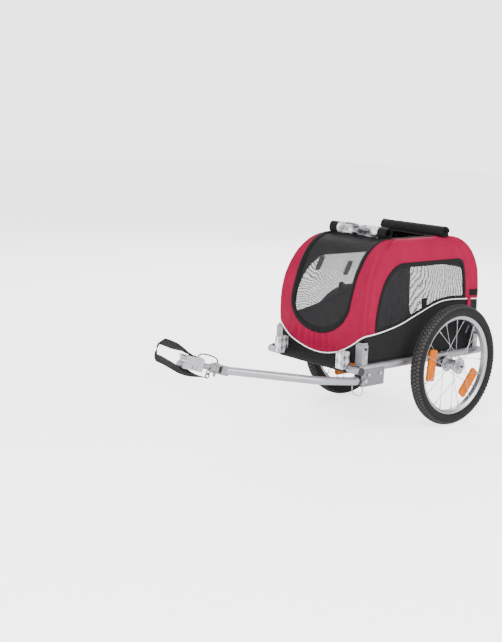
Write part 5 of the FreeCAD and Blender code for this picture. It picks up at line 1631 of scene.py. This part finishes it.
def tyre_piece(side):
    """The carcass as an open tube section swung round the axle, with its thickness."""
    centre = wheel_centre(side)

    def place(turn, share):
        bend = math.radians(TYRE_OPEN * (2 * share - 1))
        reach = wall_thickness(bend)
        return wheel_place(centre, reach * math.sin(bend),
                           RING_RADIUS + reach * math.cos(bend), TURN * turn)

    shell = bmesh.new()
    flat = sheet_mesh("tyre_grid", grid(160, 60, place))
    shell.from_mesh(flat)
    bpy.data.meshes.remove(flat)
    bmesh.ops.remove_doubles(shell, verts=shell.verts, dist=1e-6)
    first = next(iter(shell.faces))
    middle = first.calc_center_median()
    spoke = Vector((0, middle.y - centre.y, middle.z - centre.z)).normalized()
    if first.normal.dot(middle - centre - spoke * RING_RADIUS) < 0:
        bmesh.ops.reverse_faces(shell, faces=shell.faces)
    name = side + "_tyre_wall"
    piece = link_piece(name, mesh_from(name, shell), "tyre_rubber")
    return with_modifier(piece, "SOLIDIFY", thickness=TYRE_WALL, offset=-1, use_rim=True)


def tread_spots(side):
    """Four staggered rows of blocks over the crown of the tyre."""
    centre = wheel_centre(side)
    spots = []
    for row, degrees in enumerate(TREAD_ROWS):
        bend = math.radians(degrees)
        across, out = math.sin(bend), math.cos(bend)
        for k in range(TREAD_COUNT):
            angle = TURN * (k + 0.5 * (row % 2)) / TREAD_COUNT
            c, s = math.cos(angle), math.sin(angle)
            spot = wheel_place(centre, CARCASS * across, RING_RADIUS + CARCASS * out, angle)
            along = Vector((math.copysign(TREAD_SLANT, degrees), -s, c))
            spots.append((spot, Vector((across, out * c, out * s)), along))
    return spots


for side in ("left", "right"):
    tyre = settle(tyre_piece(side), side + "_wheel", "tyre_rubber", side + "_tyre")
    tread = studs(side + "_tread", "block", "tread_rubber", tread_spots(side),
                  Wide=0.0094, Long=0.0080, High=0.0026)
    settle(tread, side + "_wheel", "tyre_rubber")
    print(side, "tyre:", len(tyre.data.polygons), "tread:", len(tread.data.polygons), "faces")

# %% Nipples, valves and reflectors
RIM_FOOT, SPOKES = 0.152, 20
SPOKE_ROOT, SPOKE_TURN, FLANGE, FLANGE_STEP, RIM_STEP = 0.023, 0.2, 0.024, 0.0032, 0.004
VALVE_ANGLE = math.radians(63)
REFLECTOR_ANGLES = {"left": (175, 320), "right": (270, 54)}
REFLECTOR_RADIUS, REFLECTOR_SIZE = 0.110, (0.0096, 0.036, 0.104)
LENS_EDGE, LENS_END = 0.0034, 0.009


def spoke_spots(side):
    """Where each spoke meets the rim, and its way back to the hub."""
    centre = wheel_centre(side)
    mirror = 1 if side == "left" else -1
    spots = []
    for index in range(SPOKES):
        flange = mirror if index % 2 else -mirror
        lean = 1 if index % 4 < 2 else -1
        angle = TURN * index / SPOKES
        root = wheel_place(centre, flange * (FLANGE + lean * FLANGE_STEP), SPOKE_ROOT,
                           angle + lean * TURN * SPOKE_TURN)
        tip = wheel_place(centre, flange * RIM_STEP, RIM_FOOT, angle)
        inward = (root - tip).normalized()
        spots.append((tip + inward * 0.0050, inward, ACROSS))
    return spots


def soft_block(name, centre, turn):
    """A reflector with round ends and soft edges, turned about the wheel's axle."""
    made = bmesh.new()
    bmesh.ops.create_cube(made, size=1)
    bmesh.ops.scale(made, vec=REFLECTOR_SIZE, verts=made.verts)
    corners = [e for e in made.edges
               if abs(e.verts[0].co.x - e.verts[1].co.x) > REFLECTOR_SIZE[0] / 2]
    bmesh.ops.bevel(made, geom=corners, offset=LENS_END, segments=6, profile=0.5, affect="EDGES")
    rims = [e for e in made.edges if e.calc_face_angle(0) > 1.2]
    bmesh.ops.bevel(made, geom=rims, offset=LENS_EDGE, segments=4, profile=0.6,
                    affect="EDGES", clamp_overlap=True)
    bmesh.ops.rotate(made, matrix=Matrix.Rotation(turn, 3, "X"), verts=made.verts)
    bmesh.ops.translate(made, vec=centre, verts=made.verts)
    for face in made.faces:
        face.smooth = True
    return mesh_from(name, made)


for side in ("left", "right"):
    centre, body = wheel_centre(side), side + "_wheel"
    nipples = studs(side + "_nipples", "round", "bright_steel", spoke_spots(side),
                    Wide=0.0044, Long=0.0036, High=0.0110, Sides=10)
    settle(nipples, body, "bright_steel")
    inward = Vector((0, -math.cos(VALVE_ANGLE), -math.sin(VALVE_ANGLE)))
    foot = wheel_place(centre, 0, RIM_FOOT, VALVE_ANGLE)
    stem = studs(side + "_valve_stem", "round", "rubber_seal",
                 [(foot + inward * 0.011, inward, ACROSS)],
                 Wide=0.0085, Long=0.0058, High=0.024, Sides=20)
    settle(stem, body, "rubber_seal")
    cap = studs(side + "_valve_cap", "round", "black_plastic",
                [(foot + inward * 0.0275, inward, ACROSS)],
                Wide=0.0076, Long=0.0066, High=0.0110, Sides=20)
    settle(cap, body, "black_plastic")
    turns = [math.radians(degrees) for degrees in REFLECTOR_ANGLES[side]]
    lenses = [soft_block(side + "_lens", wheel_place(centre, 0, REFLECTOR_RADIUS, turn), turn)
              for turn in turns]
    amber = join_meshes(side + "_reflector_lens", lenses, "orange_lens")
    settle(amber, body, "orange_lens", side + "_wheel_reflectors")
print("nipples, valves and reflectors on both wheels")

# %% [markdown]
# ## The coupling: spring, strap, tether and leash
# In front of the tow bar's fork a swivel carries a coil spring, and the spring carries the
# clamp. A webbing strap loops forward from the clamp, a tether hangs under the joint, and a
# thin leash keeps the hitch pin from getting lost. All of them are drawn in the coupling's
# own frame: forward along the bar, up, and across. A spline with the route's points as
# control points gives the smooth line that such a strap or cord takes.

# %% Coupling frame and spring
HITCH = Vector((0.100, FRONT - 0.483, 0.259))
FORWARD = Vector((0, -0.9578, 0.2874))
UPWARD = Vector((0, 0.2874, 0.9578))
COIL_TURNS, COIL_STEPS, COIL_RADIUS, COIL_WIRE = 8, 28, 7.2, 0.00135
COIL_START, COIL_LONG, COIL_END_PULL = 52.6, 28.8, 0.5


def hitch_point(forward, up, across=0.0):
    """A point of the coupling, from millimetres forward, up and across."""
    return HITCH + MM * (forward * FORWARD + up * UPWARD + across * ACROSS)


FLEX_START, FLEX_END = hitch_point(51, 0), hitch_point(83, 0)


def flex(piece, slot_name, *nodes):
    """A piece of the coupling, by the coil between the swivel and the clamp: its transform goes
    into its mesh, and the nodes it stands for are hidden.
    """
    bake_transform(piece)
    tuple(FLEX_START)
    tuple(FLEX_END)
    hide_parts(*nodes)
    return piece


def coil_path():
    """Eight turns of wire; the first and the last turn lie flat against their seats."""
    steps = COIL_TURNS * COIL_STEPS
    path = []
    for i in range(steps + 1):
        turn = i / COIL_STEPS
        flat = 1 - min(turn, COIL_TURNS - turn, 1.0)
        pull = COIL_END_PULL * flat * (1 if i > steps / 2 else -1)
        path.append(hitch_point(COIL_START + COIL_LONG * i / steps + pull,
                                COIL_RADIUS * math.sin(TURN * turn),
                                COIL_RADIUS * math.cos(TURN * turn)))
    return path


spring = swept("flex_coil", [coil_path()], "bright_steel", COIL_WIRE)
flex(spring, "bright_steel", "flex_spring")
print("coil:", len(spring.data.polygons), "faces")

# %% Routes and bands
STRAP_ROUTE = ((119.3, 20.2), (172, 33), (226, 40), (250, 40), (250, -8), (226, -8), (162, -25))
TETHER_ROUTE = ((161.4, -25), (110, -31), (55, -32))
LEASH_ROUTE = ((24, 17.6), (24, 31.6), (98.5, 34.1), (98.5, 22.1))
STRAP_TWIST = 52
STRAP_WIDE, STRAP_THICK, STRAP_STEPS = 0.026, 0.0016, 160
BOX_STITCH_HALF, BOX_STITCHES = 0.0095, ((4, 18), (146, 157))
LEASH_THICK = 0.004


def smooth_route(name, route, resolution=14):
    """Points along the spline whose control points are the route's own points."""
    line = bpy.data.curves.new(name, "CURVE")
    line.dimensions = "3D"
    line.resolution_u = resolution
    spline = line.splines.new("NURBS")
    spline.points.add(len(route) - 1)
    for spot, (forward, up) in zip(spline.points, route):
        spot.co = (*hitch_point(forward, up), 1)
    spline.order_u = 3
    spline.use_endpoint_u = True
    holder = bpy.data.objects.new(name, line)
    bpy.context.collection.objects.link(holder)
    mesh = evaluated_mesh(holder)
    points = [vertex.co.copy() for vertex in mesh.vertices]
    bpy.data.objects.remove(holder)
    bpy.data.meshes.remove(mesh)
    bpy.data.curves.remove(line)
    return points


def strap_path(name, route, twist):
    """A strap's line with its flat face outwards, twisted by an angle at each share of the way."""
    line = smooth_route(name, route)
    last = len(line) - 1
    path = []
    for index, point in enumerate(line):
        way = line[min(index + 1, last)] - line[max(index - 1, 0)]
        flat = ACROSS.cross(way).normalized()
        turn = Matrix.Rotation(math.radians(twist(index / last)), 3, way.normalized())
        path.append((point, turn @ flat))
    return even(path, STRAP_STEPS)


def loop_twist(share):
    """Flat in the ring, turned on edge along both runs, less so round the front of the loop."""
    front = ease(0.36, 0.48, share) * ease(0.66, 0.54, share)
    return STRAP_TWIST * ease(0.02, 0.2, share) * (1 - 0.5 * front)


def tether_twist(share):
    return STRAP_TWIST * ease(0.9, 0.2, share)


def webbing_band(name, path):
    """Woven strap with round edges."""
    mesh = ribbon_mesh(name, path, STRAP_WIDE, STRAP_THICK, crown=0.0003)
    return link_piece(name, mesh, "webbing")


def box_stitch(near, far, lift):
    """Thread in a box with a cross over a stretch of strap."""
    half = BOX_STITCH_HALF
    corners = [p + FORWARD.cross(n).normalized() * wide + n * lift
               for (p, n), wide in ((near, half), (near, -half), (far, -half), (far, half))]
    a, b, c, d = corners
    return [[a, b, c, d, a], [a, c], [b, d]]


print("strap route:", len(STRAP_ROUTE), "control points")

# %% Strap, tether and leash
strap_line = strap_path("strap_line", STRAP_ROUTE, loop_twist)
strap = webbing_band("coupling_strap", strap_line)
settle(strap, "coupling", "webbing", "strap_loop")
tether = webbing_band("coupling_tether", strap_path("tether_line", TETHER_ROUTE, tether_twist))
flex(tether, "webbing", "safety_tether")
thread_rows = [row for start, end in BOX_STITCHES for lift in (0.0021, -0.0009)
               for row in box_stitch(strap_line[start], strap_line[end], lift)]
strap_thread = stitched("strap_thread", thread_rows, "black_thread", 0.0042, 0.0030, 0.0004)
settle(strap_thread, "coupling", "webbing")
leash_line = smooth_route("leash_line", LEASH_ROUTE, 20)
leash = swept("hitch_pin_leash", [leash_line], "webbing", LEASH_THICK / 2, sides=12)
flex(leash, "webbing", "pin_leash")
LEASH_LENGTH = lengths_along(leash_line)[-1]
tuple(leash_line[0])
print("strap", len(strap.data.polygons), "tether", len(tether.data.polygons),
      "leash", round(LEASH_LENGTH, 4), "m")

# %% [markdown]
# ## Which pieces are cloth
# For each sheet, the rectangle of cloth it was cut from is worked out from its width and the
# share of it that is used, and not kept. The cabin's panels are pulled tight over the two hoops,
# the covers on the roof are folded into rolls, and the skirt only lies on the floor.

# %% Cloth of each sheet
ROLLED_WIDE = RAIN_HIGH.x - RAIN_LOW.x


def declare(piece, width, used, held, rests_on, area=None, **more):
    """The length of the rectangle of cloth for a sheet, from its width and the share of it that is
    used; it is worked out but not kept.
    """
    area = area or sum(face.area for face in piece.data.polygons) / 2
    area / used / width


declare(cover, 1.40, 0.7, "stretched", ["front_hoop_tube", "rear_hoop_tube"], cover_area,
        with_pieces=[binding, piping, welts, red_stitches, hold_downs, zip_tape, teeth, slider,
                     puller, plain])
declare(walls, 0.60, 0.7, "stretched", ["side_tubes"], walls_area, with_pieces=[hem])
declare(windows, 0.80, 0.7, "stretched", [cover], windows_area,
        with_pieces=[black_stitches, hooks, loop_tabs])
declare(gussets, 0.30, 0.8, "stretched", [walls])
declare(wrap, 2 * WRAP_HALF, 0.95, "stretched", [walls])
declare(skirt, 0.60, 0.9, "laid", ["floor_panel"])
declare(rain, ROLLED_WIDE, 0.95, "folded", [cover])
declare(sun, ROLLED_WIDE, 0.95, "folded", [cover])

# %% Finish
print("scene built")
